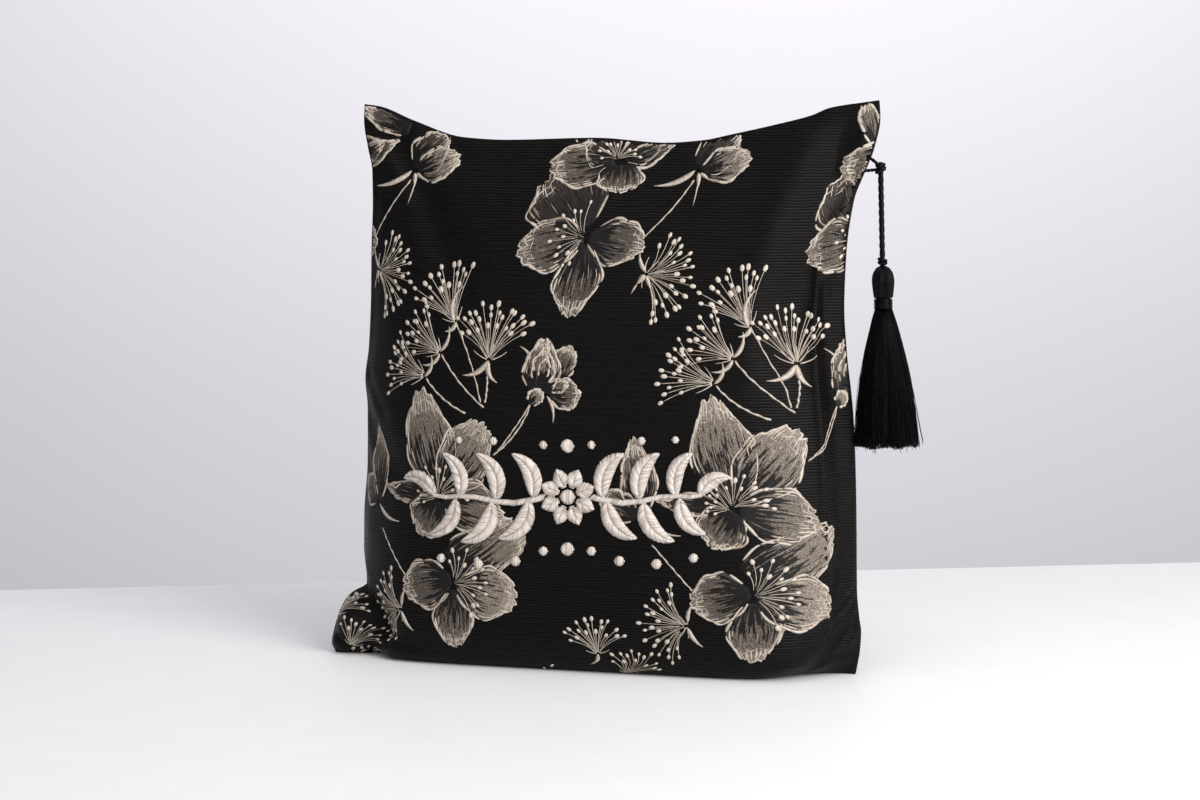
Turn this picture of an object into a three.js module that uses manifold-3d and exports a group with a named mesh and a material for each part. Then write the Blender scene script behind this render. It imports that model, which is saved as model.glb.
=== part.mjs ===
// A soft zipped pouch of ribbed brocade that stands on its flattened base, with a tassel on its zip pull.
// Millimetres, +Z up. +X is the wearer's right-hand side of the picture face, and the picture face looks to -Y.
// The origin is the middle of the footprint, on the surface that the pouch stands on.

import * as THREE from 'three';
import { mergeVertices } from 'three/addons/utils/BufferGeometryUtils.js';
import Module from 'manifold-3d';

const wasm = await Module();
wasm.setup();

// Driving dimensions of the cloth bag
const BAG = {
  width: 246, // over the widest corner tips
  height: 248, // floor to the tips of the upper corners
  depth: 72, // through the fullest part, front to back
  wall: 1.5, // brocade with its interlining
  hem: 0.5, // cloth pinched at a seam
  hemRun: 7, // distance from a seam over which the cloth reaches its full wall
  seamGap: 0.3, // between two pieces of cloth at a seam
  seatSink: 1.2, // how far the belly is pressed down into a flat seat
  pressedWidth: 8, // exponent that carries the flat seat out towards the side seams
};

// Driving dimensions of the zip in the back
const ZIP = {
  at: 0.885, // share of the girth, bottom seam to top seam
  slot: 9, // height of the slit between the two back pieces
  end: 0.93, // share of the half width where the slit closes
  tapeLap: 3, // tape hidden behind the cloth on each side of the slit
  tapeThick: 0.7,
  coilWidth: 4.2,
  coilThick: 1.5,
  clearance: 0.3,
  sliderLength: 10,
  sliderWidth: 8,
  sliderThick: 2.4,
  sliderAt: 0.8, // share of the half width
  bridgeWidth: 3,
  bridgeHigh: 4.2,
  bridgeThick: 1,
  pullLength: 17,
  pullWidth: 4.6,
  pullThick: 1.1,
  pullHole: 2.6,
  pullBar: 1.4, // metal between the pull's slot and its end
  pullLift: 11, // degrees that the pull stands off the cloth
};

// Driving dimensions of the cord and the tassel
const TASSEL = {
  cordThick: 3, // two strands laid side by side and twisted
  strandThick: 1.5,
  knotWide: 5,
  knotHigh: 5.4,
  knotOut: 5.3, // middle of the knot past the side seam
  knotBack: 6.8, // middle of the knot behind the side seam
  knotUp: 219.6, // middle of the knot above the floor
  hang: 35.5, // clear cord between the knot and the small knot on the head
  lean: 1.8, // degrees that the tassel leans away from the bag
  collarWide: 4.6,
  collarHigh: 2.8,
  headWide: 9.4,
  headHigh: 14.2,
  bindingWide: 8.6,
  bindingHigh: 4.8,
  neckWide: 6.4,
  skirtLength: 60.5,
  skirtWide: 25.5,
  locks: 14,
  gap: 0.3,
};

// Seam line of the sides, from the floor up: x as a share of half the width
const SIDE_OUTLINE = [
  { girth: 0.0, left: -0.985, right: 0.935 },
  { girth: 0.018, left: -1.0, right: 0.942 },
  { girth: 0.045, left: -0.98, right: 0.95 },
  { girth: 0.075, left: -0.948, right: 0.953 },
  { girth: 0.1, left: -0.918, right: 0.946 },
  { girth: 0.122, left: -0.876, right: 0.94 },
  { girth: 0.145, left: -0.882, right: 0.937 },
  { girth: 0.19, left: -0.899, right: 0.935 },
  { girth: 0.25, left: -0.902, right: 0.933 },
  { girth: 0.35, left: -0.888, right: 0.928 },
  { girth: 0.45, left: -0.886, right: 0.918 },
  { girth: 0.5, left: -0.894, right: 0.908 },
  { girth: 0.56, left: -0.879, right: 0.893 },
  { girth: 0.65, left: -0.869, right: 0.881 },
  { girth: 0.74, left: -0.865, right: 0.887 },
  { girth: 0.83, left: -0.858, right: 0.912 },
  { girth: 0.88, left: -0.859, right: 0.951 },
  { girth: 0.92, left: -0.874, right: 0.981 },
  { girth: 0.97, left: -0.889, right: 1.0 },
  { girth: 1.0, left: -0.886, right: 0.996 },
];

// Top seam, left to right: height as a share of the height of the corner tips
const TOP_OUTLINE = [
  { across: -1.0, rise: 1.0 },
  { across: -0.94, rise: 0.996 },
  { across: -0.8, rise: 0.97 },
  { across: -0.6, rise: 0.94 },
  { across: -0.42, rise: 0.935 },
  { across: -0.08, rise: 0.938 },
  { across: 0.2, rise: 0.929 },
  { across: 0.34, rise: 0.933 },
  { across: 0.45, rise: 0.943 },
  { across: 0.62, rise: 0.96 },
  { across: 0.75, rise: 0.975 },
  { across: 0.82, rise: 0.988 },
  { across: 0.95, rise: 0.997 },
  { across: 1.0, rise: 1.0 },
];

// Section through the middle, seat to top seam: out is a share of half the depth, up a share of the height there,
// and square is the exponent that rounds the plan towards the side seams
const MIDDLE_SECTION = [
  { girth: 0.0, out: 0.0, up: 0.0, square: 9 },
  { girth: 0.04, out: 0.27, up: 0.0, square: 9 },
  { girth: 0.08, out: 0.56, up: 0.0, square: 8 },
  { girth: 0.105, out: 0.74, up: 0.01, square: 7.4 },
  { girth: 0.135, out: 0.87, up: 0.04, square: 6.8 },
  { girth: 0.18, out: 0.955, up: 0.09, square: 6 },
  { girth: 0.26, out: 1.0, up: 0.178, square: 5.4 },
  { girth: 0.38, out: 0.985, up: 0.31, square: 4.8 },
  { girth: 0.54, out: 0.885, up: 0.485, square: 4.2 },
  { girth: 0.7, out: 0.7, up: 0.66, square: 3.6 },
  { girth: 0.83, out: 0.47, up: 0.805, square: 3.1 },
  { girth: 0.93, out: 0.215, up: 0.92, square: 2.7 },
  { girth: 1.0, out: 0.0, up: 1.0, square: 2.4 },
];

// Soft folds and dents, each along a line on the cloth: wide and high are shares of the depth, high is outwards
const FOLDS = [
  { face: 'front', u0: 0.9, w0: 0.92, u1: 0.8, w1: 0.64, wide: 0.15, high: -0.055 },
  { face: 'front', u0: 0.72, w0: 0.97, u1: 0.67, w1: 0.62, wide: 0.17, high: 0.03 },
  { face: 'front', u0: -0.86, w0: 0.94, u1: -0.6, w1: 0.78, wide: 0.13, high: -0.04 },
  { face: 'front', u0: -0.5, w0: 0.94, u1: 0.3, w1: 0.93, wide: 0.14, high: -0.02 },
  { face: 'front', u0: 0.915, w0: 0.25, u1: 0.9, w1: 0.66, wide: 0.07, high: 0.018 },
  { face: 'front', u0: -0.88, w0: 0.13, u1: -0.82, w1: 0.03, wide: 0.09, high: -0.1 },
  { face: 'front', u0: 0.98, w0: 0.105, u1: 0.72, w1: 0.07, wide: 0.08, high: -0.04 },
  { face: 'front', u0: -0.97, w0: 0.43, u1: -0.74, w1: 0.4, wide: 0.12, high: -0.025 },
  { face: 'back', u0: 0.86, w0: 0.84, u1: 0.66, w1: 0.62, wide: 0.15, high: -0.05 },
  { face: 'back', u0: -0.86, w0: 0.84, u1: -0.64, w1: 0.6, wide: 0.15, high: -0.05 },
  { face: 'back', u0: -0.5, w0: 0.8, u1: 0.45, w1: 0.81, wide: 0.2, high: -0.03 },
  { face: 'back', u0: 0.97, w0: 0.11, u1: 0.7, w1: 0.08, wide: 0.09, high: -0.04 },
  { face: 'back', u0: -0.97, w0: 0.14, u1: -0.74, w1: 0.1, wide: 0.09, high: -0.06 },
  { face: 'back', u0: -0.1, w0: 0.3, u1: 0.55, w1: 0.46, wide: 0.22, high: -0.025 },
];

// The lower left corner is pushed out towards the picture face
const EAR = { across: -1, girth: 0.02, spreadAcross: 0.24, spreadGirth: 0.13, forward: 12 };

const HALF_WIDTH = BAG.width / 2;
const HALF_DEPTH = BAG.depth / 2;
const FRONT = -1;
const BACK = 1;
const COLUMNS = 30;
const ROWS_BELOW = 27;
const ROWS_ABOVE = 4;

const smooth = (t) => {
  const s = Math.min(1, Math.max(0, t));
  return s * s * (3 - 2 * s);
};

// Reads a table's column at any place with a curve that never overshoots its rows
function read(table, key, at, column) {
  const last = table.length - 1;
  const x = Math.min(table[last][key], Math.max(table[0][key], at));
  let i = 0;
  while (i < last - 1 && x > table[i + 1][key]) i += 1;
  const step = (k) => table[k + 1][key] - table[k][key];
  const slope = (k) => (table[k + 1][column] - table[k][column]) / step(k);
  const bend = (k) => {
    if (k === 0) return slope(0);
    if (k === last) return slope(last - 1);
    const [a, b] = [slope(k - 1), slope(k)];
    return a * b <= 0 ? 0 : (2 * a * b) / (a + b);
  };
  const t = (x - table[i][key]) / step(i);
  const [t2, t3] = [t * t, t * t * t];
  return (2 * t3 - 3 * t2 + 1) * table[i][column] + (t3 - 2 * t2 + t) * step(i) * bend(i)
    + (3 * t2 - 2 * t3) * table[i + 1][column] + (t3 - t2) * step(i) * bend(i + 1);
}

// Sum of the folds of one face at a place on the cloth
function foldHeight(face, u, w) {
  const place = new THREE.Vector2(u * HALF_WIDTH, w * BAG.height);
  const name = face === FRONT ? 'front' : 'back';
  return FOLDS.filter((fold) => fold.face === name).reduce((sum, fold) => {
    const start = new THREE.Vector2(fold.u0 * HALF_WIDTH, fold.w0 * BAG.height);
    const run = new THREE.Vector2(fold.u1 * HALF_WIDTH, fold.w1 * BAG.height).sub(start);
    const along = Math.min(1, Math.max(0, place.clone().sub(start).dot(run) / run.lengthSq()));
    const away = place.distanceTo(start.addScaledVector(run, along)) / (fold.wide * BAG.depth);
    return sum + fold.high * BAG.depth * Math.exp(-away * away);
  }, 0);
}

// Distance on the cloth to the nearest seam
const seamDistance = (u, w) => Math.min((1 - Math.abs(u)) * HALF_WIDTH, (1 - w) * BAG.height, w * BAG.height);

const wallAt = (u, w) => BAG.hem + (BAG.wall - BAG.hem) * smooth(seamDistance(u, w) / BAG.hemRun);

// How far the seam surface between the two faces leans forward, at the pushed-out corner
function seamForward(u, w) {
  const across = (u - EAR.across) / EAR.spreadAcross;
  const girth = (w - EAR.girth) / EAR.spreadGirth;
  return EAR.forward * Math.exp(-across * across - girth * girth);
}

// Fullness of one face over the seam surface, folds included
function fullness(face, u, w) {
  const round = 1 - Math.abs(u) ** read(MIDDLE_SECTION, 'girth', w, 'square');
  const belly = HALF_DEPTH * read(MIDDLE_SECTION, 'girth', w, 'out') * round;
  const quiet = smooth(seamDistance(u, w) / BAG.hemRun);
  return Math.max(0, belly + foldHeight(face, u, w) * quiet);
}

// Outer surface of the cloth: u runs from side seam to side seam, w up the girth from bottom seam to top seam
function clothPoint(face, u, w) {
  const left = read(SIDE_OUTLINE, 'girth', w, 'left');
  const right = read(SIDE_OUTLINE, 'girth', w, 'right');
  const top = BAG.height * read(TOP_OUTLINE, 'across', u, 'rise');
  const pressed = 1 - Math.abs(u) ** BAG.pressedWidth;
  const up = read(MIDDLE_SECTION, 'girth', w, 'up');
  const sunk = BAG.seatSink * pressed * (1 - smooth(w / MIDDLE_SECTION[5].girth));
  const peak = HALF_DEPTH - BAG.seamGap / 2 - BAG.wall;
  const out = BAG.seamGap / 2 + wallAt(u, w) + fullness(face, u, w) * (peak / HALF_DEPTH);
  return new THREE.Vector3(
    HALF_WIDTH * (left + ((right - left) * (u + 1)) / 2),
    face * out - seamForward(u, w),
    Math.max(0, top * (w + (up - w) * pressed) - sunk),
  );
}

// Outward direction of the cloth, from two short steps on its surface
function clothNormal(face, u, w) {
  const step = 0.004;
  const across = clothPoint(face, Math.min(1, u + step), w).sub(clothPoint(face, Math.max(-1, u - step), w));
  const upward = clothPoint(face, u, Math.min(1, w + step)).sub(clothPoint(face, u, Math.max(0, w - step)));
  const normal = across.cross(upward).normalize();
  return face === FRONT ? normal : normal.negate();
}

// A point at some depth inside the cloth: square to the cloth where it is full, straight towards the seam where it is not
function insidePoint(face, u, w, depth) {
  const full = smooth(fullness(face, u, w) / (6 * BAG.wall));
  const towardsSeam = new THREE.Vector3(0, face, 0);
  const direction = towardsSeam.lerp(clothNormal(face, u, w), full).normalize();
  return clothPoint(face, u, w).addScaledVector(direction, -depth);
}

// A closed shell between two grids of points that share their rows and columns
function shellGeometry(outer, inner) {
  const [columns, rows] = [outer.length, outer[0].length];
  const positions = [outer, inner].flatMap((grid) => grid.flatMap((line) => line.flatMap((p) => [p.x, p.y, p.z])));
  const at = (layer, i, j) => layer * columns * rows + i * rows + j;
  const faces = [];
  const quad = (a, b, c, d) => faces.push(a, b, c, a, c, d);
  for (let i = 0; i < columns - 1; i += 1) {
    for (let j = 0; j < rows - 1; j += 1) {
      quad(at(0, i, j), at(0, i + 1, j), at(0, i + 1, j + 1), at(0, i, j + 1));
      quad(at(1, i, j), at(1, i, j + 1), at(1, i + 1, j + 1), at(1, i + 1, j));
    }
    quad(at(0, i, 0), at(1, i, 0), at(1, i + 1, 0), at(0, i + 1, 0));
    quad(at(0, i + 1, rows - 1), at(1, i + 1, rows - 1), at(1, i, rows - 1), at(0, i, rows - 1));
  }
  for (let j = 0; j < rows - 1; j += 1) {
    quad(at(0, 0, j + 1), at(1, 0, j + 1), at(1, 0, j), at(0, 0, j));
    quad(at(0, columns - 1, j), at(1, columns - 1, j), at(1, columns - 1, j + 1), at(0, columns - 1, j + 1));
  }
  return outwards(positions, faces);
}

// A geometry whose faces point out, whichever way its grid was wound
function outwards(positions, faces) {
  const corner = (k) => new THREE.Vector3().fromArray(positions, 3 * k);
  let volume = 0;
  for (let f = 0; f < faces.length; f += 3) {
    volume += corner(faces[f]).dot(corner(faces[f + 1]).cross(corner(faces[f + 2])));
  }
  if (volume < 0) faces.reverse();
  const geometry = new THREE.BufferGeometry();
  geometry.setAttribute('position', new THREE.Float32BufferAttribute(positions, 3));
  geometry.setIndex(faces);
  return geometry;
}

// Places across the cloth, closer together towards the side seams
const acrossPlaces = (limit, count) => Array.from({ length: count + 1 }, (_, i) => {
  const t = (2 * i) / count - 1;
  return limit * (1.4 * t - 0.4 * t ** 3);
});

// Rows of a piece of cloth at one place across it: below the zip they lie closer together where the cloth turns under
function rowPlaces(low, high) {
  const below = Array.from({ length: ROWS_BELOW + 1 }, (_, j) => {
    const t = j / ROWS_BELOW;
    return Math.min(high, ZIP.at) * (0.55 * t + 0.45 * t * t);
  });
  const start = Math.max(low, ZIP.at);
  const above = Array.from({ length: ROWS_ABOVE + 1 }, (_, j) => start + ((high - start) * j) / ROWS_ABOVE);
  if (low > 0) return above;
  return high < 1 ? below : [...below, ...above.slice(1)];
}

// One piece of cloth of a face, between a lower and an upper edge that may change across it
function clothGeometry(face, lower, upper) {
  const grid = (place) => acrossPlaces(1, COLUMNS).map((u) => rowPlaces(lower(u), upper(u)).map((w) => place(u, w)));
  const outer = grid((u, w) => clothPoint(face, u, w));
  const inner = grid((u, w) => insidePoint(face, u, w, wallAt(u, w)));
  return shellGeometry(outer, inner);
}

// Half the height of the zip slit as a share of the girth, closing to a plain seam at its ends
function slitHalf(u) {
  const shut = BAG.seamGap / 2 / BAG.height;
  const open = ZIP.slot / 2 / BAG.height;
  const nearEnd = smooth((ZIP.end - Math.abs(u)) / 0.02);
  return THREE.MathUtils.lerp(shut, open, nearEnd);
}

// A strip that follows the back along the zip, between two depths under the cloth's outer surface
function zipStripGeometry(width, shallow, deep, end) {
  const half = width / 2 / BAG.height;
  const places = [-end, ...acrossPlaces(1, COLUMNS).filter((u) => Math.abs(u) < end - 0.01), end];
  const layer = (depth) => places.map((u) => [-1, 0, 1].map((side) => insidePoint(BACK, u, ZIP.at + side * half, depth)));
  return shellGeometry(layer(shallow), layer(deep));
}

// A closed solid as a library manifold, and back
function toManifold(geometry) {
  const bare = geometry.clone();
  bare.deleteAttribute('normal');
  bare.deleteAttribute('uv');
  const merged = mergeVertices(bare, 1e-4);
  const vertProperties = new Float32Array(merged.attributes.position.array);
  const triVerts = new Uint32Array(merged.index.array);
  return new wasm.Manifold(new wasm.Mesh({ numProp: 3, vertProperties, triVerts }));
}

function toGeometry(manifold) {
  const mesh = manifold.getMesh();
  const geometry = new THREE.BufferGeometry();
  geometry.setAttribute('position', new THREE.BufferAttribute(new Float32Array(mesh.vertProperties), 3));
  geometry.setIndex(new THREE.BufferAttribute(new Uint32Array(mesh.triVerts), 1));
  return geometry;
}

// A frame on the back at the zip: x runs towards the pull, z stands out from the cloth
function zipFrame(u) {
  const out = clothNormal(BACK, u, ZIP.at);
  const step = 0.01;
  const along = clothPoint(BACK, u + step, ZIP.at).sub(clothPoint(BACK, u - step, ZIP.at));
  along.addScaledVector(out, -along.dot(out)).normalize();
  const side = out.clone().cross(along);
  return new THREE.Matrix4().makeBasis(along, side, out).setPosition(clothPoint(BACK, u, ZIP.at));
}

// Middle of the bridge's leg along the slider, which the pull's slot goes round
const bridgeLeg = ZIP.sliderLength * 0.3;

// Slider: a body narrowed to its nose, with a bridge over it that the pull hangs on
function sliderGeometry() {
  const { sliderLength: long, sliderWidth: wide, sliderThick: thick, bridgeWidth, bridgeHigh, bridgeThick } = ZIP;
  const plan = new THREE.Shape();
  plan.moveTo(-long / 2, -wide * 0.32);
  plan.lineTo(long * 0.1, -wide / 2);
  plan.lineTo(long / 2, -wide / 2);
  plan.lineTo(long / 2, wide / 2);
  plan.lineTo(long * 0.1, wide / 2);
  plan.lineTo(-long / 2, wide * 0.32);
  const body = new THREE.ExtrudeGeometry(plan, { depth: thick, bevelEnabled: false });
  body.translate(0, 0, ZIP.clearance);
  const arch = new THREE.Shape();
  const half = bridgeLeg + bridgeThick / 2;
  const inner = half - bridgeThick;
  arch.moveTo(-half, 0);
  arch.lineTo(-half, bridgeHigh * 0.7);
  arch.lineTo(-inner, bridgeHigh);
  arch.lineTo(inner, bridgeHigh);
  arch.lineTo(half, bridgeHigh * 0.7);
  arch.lineTo(half, 0);
  arch.lineTo(inner, 0);
  arch.lineTo(inner, bridgeHigh - bridgeThick);
  arch.lineTo(-inner, bridgeHigh - bridgeThick);
  arch.lineTo(-inner, 0);
  const bridge = new THREE.ExtrudeGeometry(arch, { depth: bridgeWidth, bevelEnabled: false });
  bridge.rotateX(Math.PI / 2);
  bridge.translate(0, bridgeWidth / 2, ZIP.clearance + thick - 0.4);
  return toGeometry(toManifold(body).add(toManifold(bridge)));
}

// Pull: a flat tab with a slot round the bridge's leg at its origin and a hole for the cord at its far end
const pullNose = ZIP.pullWidth / 2;
const slotHalfRun = ZIP.bridgeThick / 2 + 2 * ZIP.clearance;
const holeFromSlot = ZIP.pullLength - slotHalfRun - ZIP.pullBar - pullNose;
function pullGeometry() {
  const slotHalf = ZIP.bridgeWidth / 2 + ZIP.clearance;
  const tab = new THREE.Shape();
  tab.moveTo(-slotHalfRun - ZIP.pullBar, -pullNose);
  tab.lineTo(holeFromSlot, -pullNose);
  tab.absarc(holeFromSlot, 0, pullNose, -Math.PI / 2, Math.PI / 2, false);
  tab.lineTo(-slotHalfRun - ZIP.pullBar, pullNose);
  tab.closePath();
  const slot = new THREE.Path();
  slot.moveTo(-slotHalfRun, -slotHalf);
  slot.lineTo(-slotHalfRun, slotHalf);
  slot.lineTo(slotHalfRun, slotHalf);
  slot.lineTo(slotHalfRun, -slotHalf);
  slot.closePath();
  const eye = new THREE.Path();
  eye.absarc(holeFromSlot, 0, ZIP.pullHole / 2, 0, 2 * Math.PI, true);
  tab.holes.push(slot, eye);
  const geometry = new THREE.ExtrudeGeometry(tab, { depth: ZIP.pullThick, bevelEnabled: false, curveSegments: 5 });
  return geometry.translate(0, 0, -ZIP.pullThick / 2);
}

// Places that the cord runs through: the pull's hole, the knot beside the seam, and the tassel's axis
const sliderFrame = zipFrame(ZIP.sliderAt);
const pullRise = ZIP.clearance * 4 + ZIP.sliderThick + ZIP.pullThick / 2;
const pullPose = new THREE.Matrix4().makeRotationY(-THREE.MathUtils.degToRad(ZIP.pullLift));
pullPose.setPosition(bridgeLeg, 0, pullRise);
const pullFrame = sliderFrame.clone().multiply(pullPose);
const knotPlace = new THREE.Vector3(clothPoint(BACK, 1, ZIP.at).x + TASSEL.knotOut, TASSEL.knotBack, TASSEL.knotUp);
const leanAngle = THREE.MathUtils.degToRad(TASSEL.lean);
const down = new THREE.Vector3(Math.sin(leanAngle), 0, -Math.cos(leanAngle));
const along = (distance) => knotPlace.clone().addScaledVector(down, distance);
const cordStart = TASSEL.knotHigh / 2 + TASSEL.gap;
const collarStart = cordStart + TASSEL.hang + TASSEL.gap;
const headStart = collarStart + TASSEL.collarHigh + TASSEL.gap;

// A round tube along a curve, closed at both ends
function tubeGeometry(curve, diameter, sides, steps) {
  const section = new THREE.Shape();
  for (let k = 0; k < sides; k += 1) {
    const turn = (2 * Math.PI * k) / sides;
    const [x, y] = [(diameter / 2) * Math.cos(turn), (diameter / 2) * Math.sin(turn)];
    if (k) section.lineTo(x, y);
    else section.moveTo(x, y);
  }
  section.closePath();
  return new THREE.ExtrudeGeometry(section, { steps, bevelEnabled: false, extrudePath: curve });
}

// Loop of cord: out of the knot, through the pull's hole and back into the knot
function loopGeometry() {
  const atPull = (x, y, z) => new THREE.Vector3(holeFromSlot + x, y, z).applyMatrix4(pullFrame);
  const atKnot = (side) => knotPlace.clone().add(
    new THREE.Vector3(-TASSEL.knotWide / 2 - TASSEL.gap - TASSEL.strandThick * 0.35, side * TASSEL.strandThick * 0.75, 0),
  );
  const clear = ZIP.pullThick / 2 + TASSEL.strandThick / 2 + TASSEL.gap;
  const past = pullNose + TASSEL.strandThick / 2;
  const points = [
    atKnot(1), atPull(past, 0, clear * 1.15), atPull(0.6, 0, clear), atPull(0, 0, 0),
    atPull(0.6, 0, -clear), atPull(past, 0, -clear * 1.05), atKnot(-1),
  ];
  return tubeGeometry(new THREE.CatmullRomCurve3(points, false, 'centripetal'), TASSEL.strandThick, 8, 26);
}

function cordGeometry() {
  const curve = new THREE.LineCurve3(along(cordStart), along(cordStart + TASSEL.hang));
  return tubeGeometry(curve, TASSEL.cordThick, 10, 6);
}

// A turned solid about the tassel's axis: rows of distance down the axis and radius
function turnedGeometry(rows, sides, start) {
  const profile = rows.map(([distance, radius]) => new THREE.Vector2(radius, -distance));
  const geometry = new THREE.LatheGeometry(profile.reverse(), sides);
  geometry.rotateX(Math.PI / 2);
  geometry.rotateY(-leanAngle);
  const place = along(start);
  geometry.translate(place.x, place.y, place.z);
  return toGeometry(toManifold(geometry));
}

// An egg-shaped or barrel-shaped knot, with its ends on the axis
function knotRows(high, wide, rings) {
  return Array.from({ length: rings + 1 }, (_, i) => {
    const turn = (Math.PI * i) / rings;
    return [(high / 2) * (1 - Math.cos(turn)), i % rings ? (wide / 2) * Math.sin(turn) ** 0.7 : 0];
  });
}

// Bell of the skirt: distance below the binding and width, as shares of the skirt's length and width
const SKIRT_SECTION = [
  { below: 0.0, wide: 0.27 },
  { below: 0.13, wide: 0.45 },
  { below: 0.37, wide: 0.69 },
  { below: 0.61, wide: 0.86 },
  { below: 0.9, wide: 0.96 },
  { below: 1.0, wide: 1.0 },
];

// One lock of the skirt: a tapered strip from under the head to the hem, a little apart from its neighbours there
function lockGeometry(index) {
  const turn = (2 * Math.PI * (index + 0.5 * Math.sin(3 * index) * 0.3)) / TASSEL.locks;
  const length = TASSEL.skirtLength * (1 - 0.025 * Math.abs(Math.sin(2.3 * index)));
  const rings = SKIRT_SECTION.map(({ below }) => {
    const bell = (TASSEL.skirtWide / 2) * read(SKIRT_SECTION, 'below', below, 'wide');
    const half = (Math.PI * bell) / TASSEL.locks * (below > 0.95 ? 0.92 : 1.08);
    const middle = bell - half * 0.5;
    return [[-half, -half * 1.1], [half, -half * 1.1], [half * 0.8, half * 0.28], [0, half * 0.5], [-half * 0.8, half * 0.28]]
      .map(([side, outward]) => new THREE.Vector3(middle + outward, side, -below * length)
        .applyAxisAngle(new THREE.Vector3(0, 0, 1), turn));
  });
  const sides = rings[0].length;
  const positions = rings.flatMap((ring) => ring.flatMap((p) => [p.x, p.y, p.z]));
  const faces = [];
  for (let r = 0; r < rings.length - 1; r += 1) {
    for (let k = 0; k < sides; k += 1) {
      const [a, b] = [r * sides + k, r * sides + ((k + 1) % sides)];
      faces.push(a, a + sides, b + sides, a, b + sides, b);
    }
  }
  for (let k = 1; k < sides - 1; k += 1) {
    const end = (rings.length - 1) * sides;
    faces.push(0, k, k + 1, end, end + k + 1, end + k);
  }
  return outwards(positions, faces);
}

// Tassel: a round head, a narrow neck under the binding, and the skirt's locks round a core, all one solid
function tasselGeometry() {
  const { headWide, headHigh, neckWide, bindingHigh, skirtLength, skirtWide } = TASSEL;
  const neckEnd = headHigh + bindingHigh;
  const coreEnd = neckEnd + skirtLength * 0.97;
  const rows = [
    [0, 0], [0.3, headWide * 0.2], [headHigh * 0.12, headWide * 0.34], [headHigh * 0.3, headWide * 0.47],
    [headHigh * 0.48, headWide * 0.5], [headHigh * 0.78, headWide * 0.46], [headHigh - 0.4, headWide * 0.41],
    [headHigh, neckWide / 2], [neckEnd, neckWide / 2],
    ...SKIRT_SECTION.slice(1, -1).map(({ below, wide }) => [neckEnd + below * skirtLength, (wide * skirtWide) / 2 * 0.86]),
    [coreEnd, skirtWide * 0.41], [coreEnd, 0],
  ];
  let solid = toManifold(turnedGeometry(rows, 16, headStart));
  const place = along(headStart + neckEnd);
  for (let k = 0; k < TASSEL.locks; k += 1) {
    const lock = lockGeometry(k);
    lock.rotateY(-leanAngle);
    lock.translate(place.x, place.y, place.z);
    solid = solid.add(toManifold(lock));
  }
  return toGeometry(solid);
}

// Binding: a band of thread wound round the neck
function bindingGeometry() {
  const { bindingWide, bindingHigh, neckWide, gap } = TASSEL;
  const inner = neckWide / 2 + gap;
  const outer = bindingWide / 2;
  const bow = 0.35;
  const rows = [
    [gap, inner], [gap, outer - bow], [gap + bow, outer], [bindingHigh - gap - bow, outer],
    [bindingHigh - gap, outer - bow], [bindingHigh - gap, inner], [gap, inner],
  ];
  return turnedGeometry(rows, 16, headStart + TASSEL.headHigh);
}

// Colours, roughness and metalness as on the real thing
const MATERIALS = {
  brocade: { color: 0x0b0a0a, roughness: 0.62, metalness: 0 },
  tape: { color: 0x0a0a0a, roughness: 0.8, metalness: 0 },
  coil: { color: 0x111112, roughness: 0.4, metalness: 0 },
  metal: { color: 0x2a2a2c, roughness: 0.3, metalness: 1 },
  silk: { color: 0x060607, roughness: 0.35, metalness: 0 },
};

const pouch = new THREE.Group();

function addPiece(group, name, geometry, finish) {
  const mesh = new THREE.Mesh(geometry, new THREE.MeshStandardMaterial(MATERIALS[finish]));
  mesh.name = name;
  group.add(mesh);
  return mesh;
}

const zipLow = (u) => ZIP.at - slitHalf(u);
const zipHigh = (u) => ZIP.at + slitHalf(u);
addPiece(pouch, 'front_panel', clothGeometry(FRONT, () => 0, () => 1), 'brocade');
addPiece(pouch, 'back_panel', clothGeometry(BACK, () => 0, zipLow), 'brocade');
addPiece(pouch, 'back_yoke', clothGeometry(BACK, zipHigh, () => 1), 'brocade');

const tapeTop = BAG.wall + ZIP.clearance;
const tapeWidth = ZIP.slot + 2 * ZIP.tapeLap;
addPiece(pouch, 'zip_tape', zipStripGeometry(tapeWidth, tapeTop, tapeTop + ZIP.tapeThick, ZIP.end - 0.01), 'tape');
const coilBase = tapeTop - ZIP.clearance;
const coilEnd = ZIP.end - 0.04;
addPiece(pouch, 'zip_coil', zipStripGeometry(ZIP.coilWidth, coilBase - ZIP.coilThick, coilBase, coilEnd), 'coil');

const slider = new THREE.Group();
slider.applyMatrix4(sliderFrame);
addPiece(slider, 'zip_slider', sliderGeometry(), 'metal');
addPiece(slider, 'zip_pull', pullGeometry(), 'metal').applyMatrix4(pullPose);
pouch.add(slider);

const drop = new THREE.Group();
addPiece(drop, 'cord_loop', loopGeometry(), 'silk');
const knotRings = 6;
const knotStart = -TASSEL.knotHigh / 2;
addPiece(drop, 'cord_knot', turnedGeometry(knotRows(TASSEL.knotHigh, TASSEL.knotWide, knotRings), 12, knotStart), 'silk');
addPiece(drop, 'tassel_cord', cordGeometry(), 'silk');
const collar = knotRows(TASSEL.collarHigh, TASSEL.collarWide, knotRings);
addPiece(drop, 'tassel_collar', turnedGeometry(collar, 12, collarStart), 'silk');
addPiece(drop, 'tassel', tasselGeometry(), 'silk');
addPiece(drop, 'tassel_binding', bindingGeometry(), 'silk');
pouch.add(drop);

export default pouch;
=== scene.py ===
"""Dresses the tallit bag: brocade cloth, woven flowers, a satin-stitch ornament, zip, cord and tassel.

Shapes are worked out in millimetres and written to the meshes in metres.
"""
import math

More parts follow.
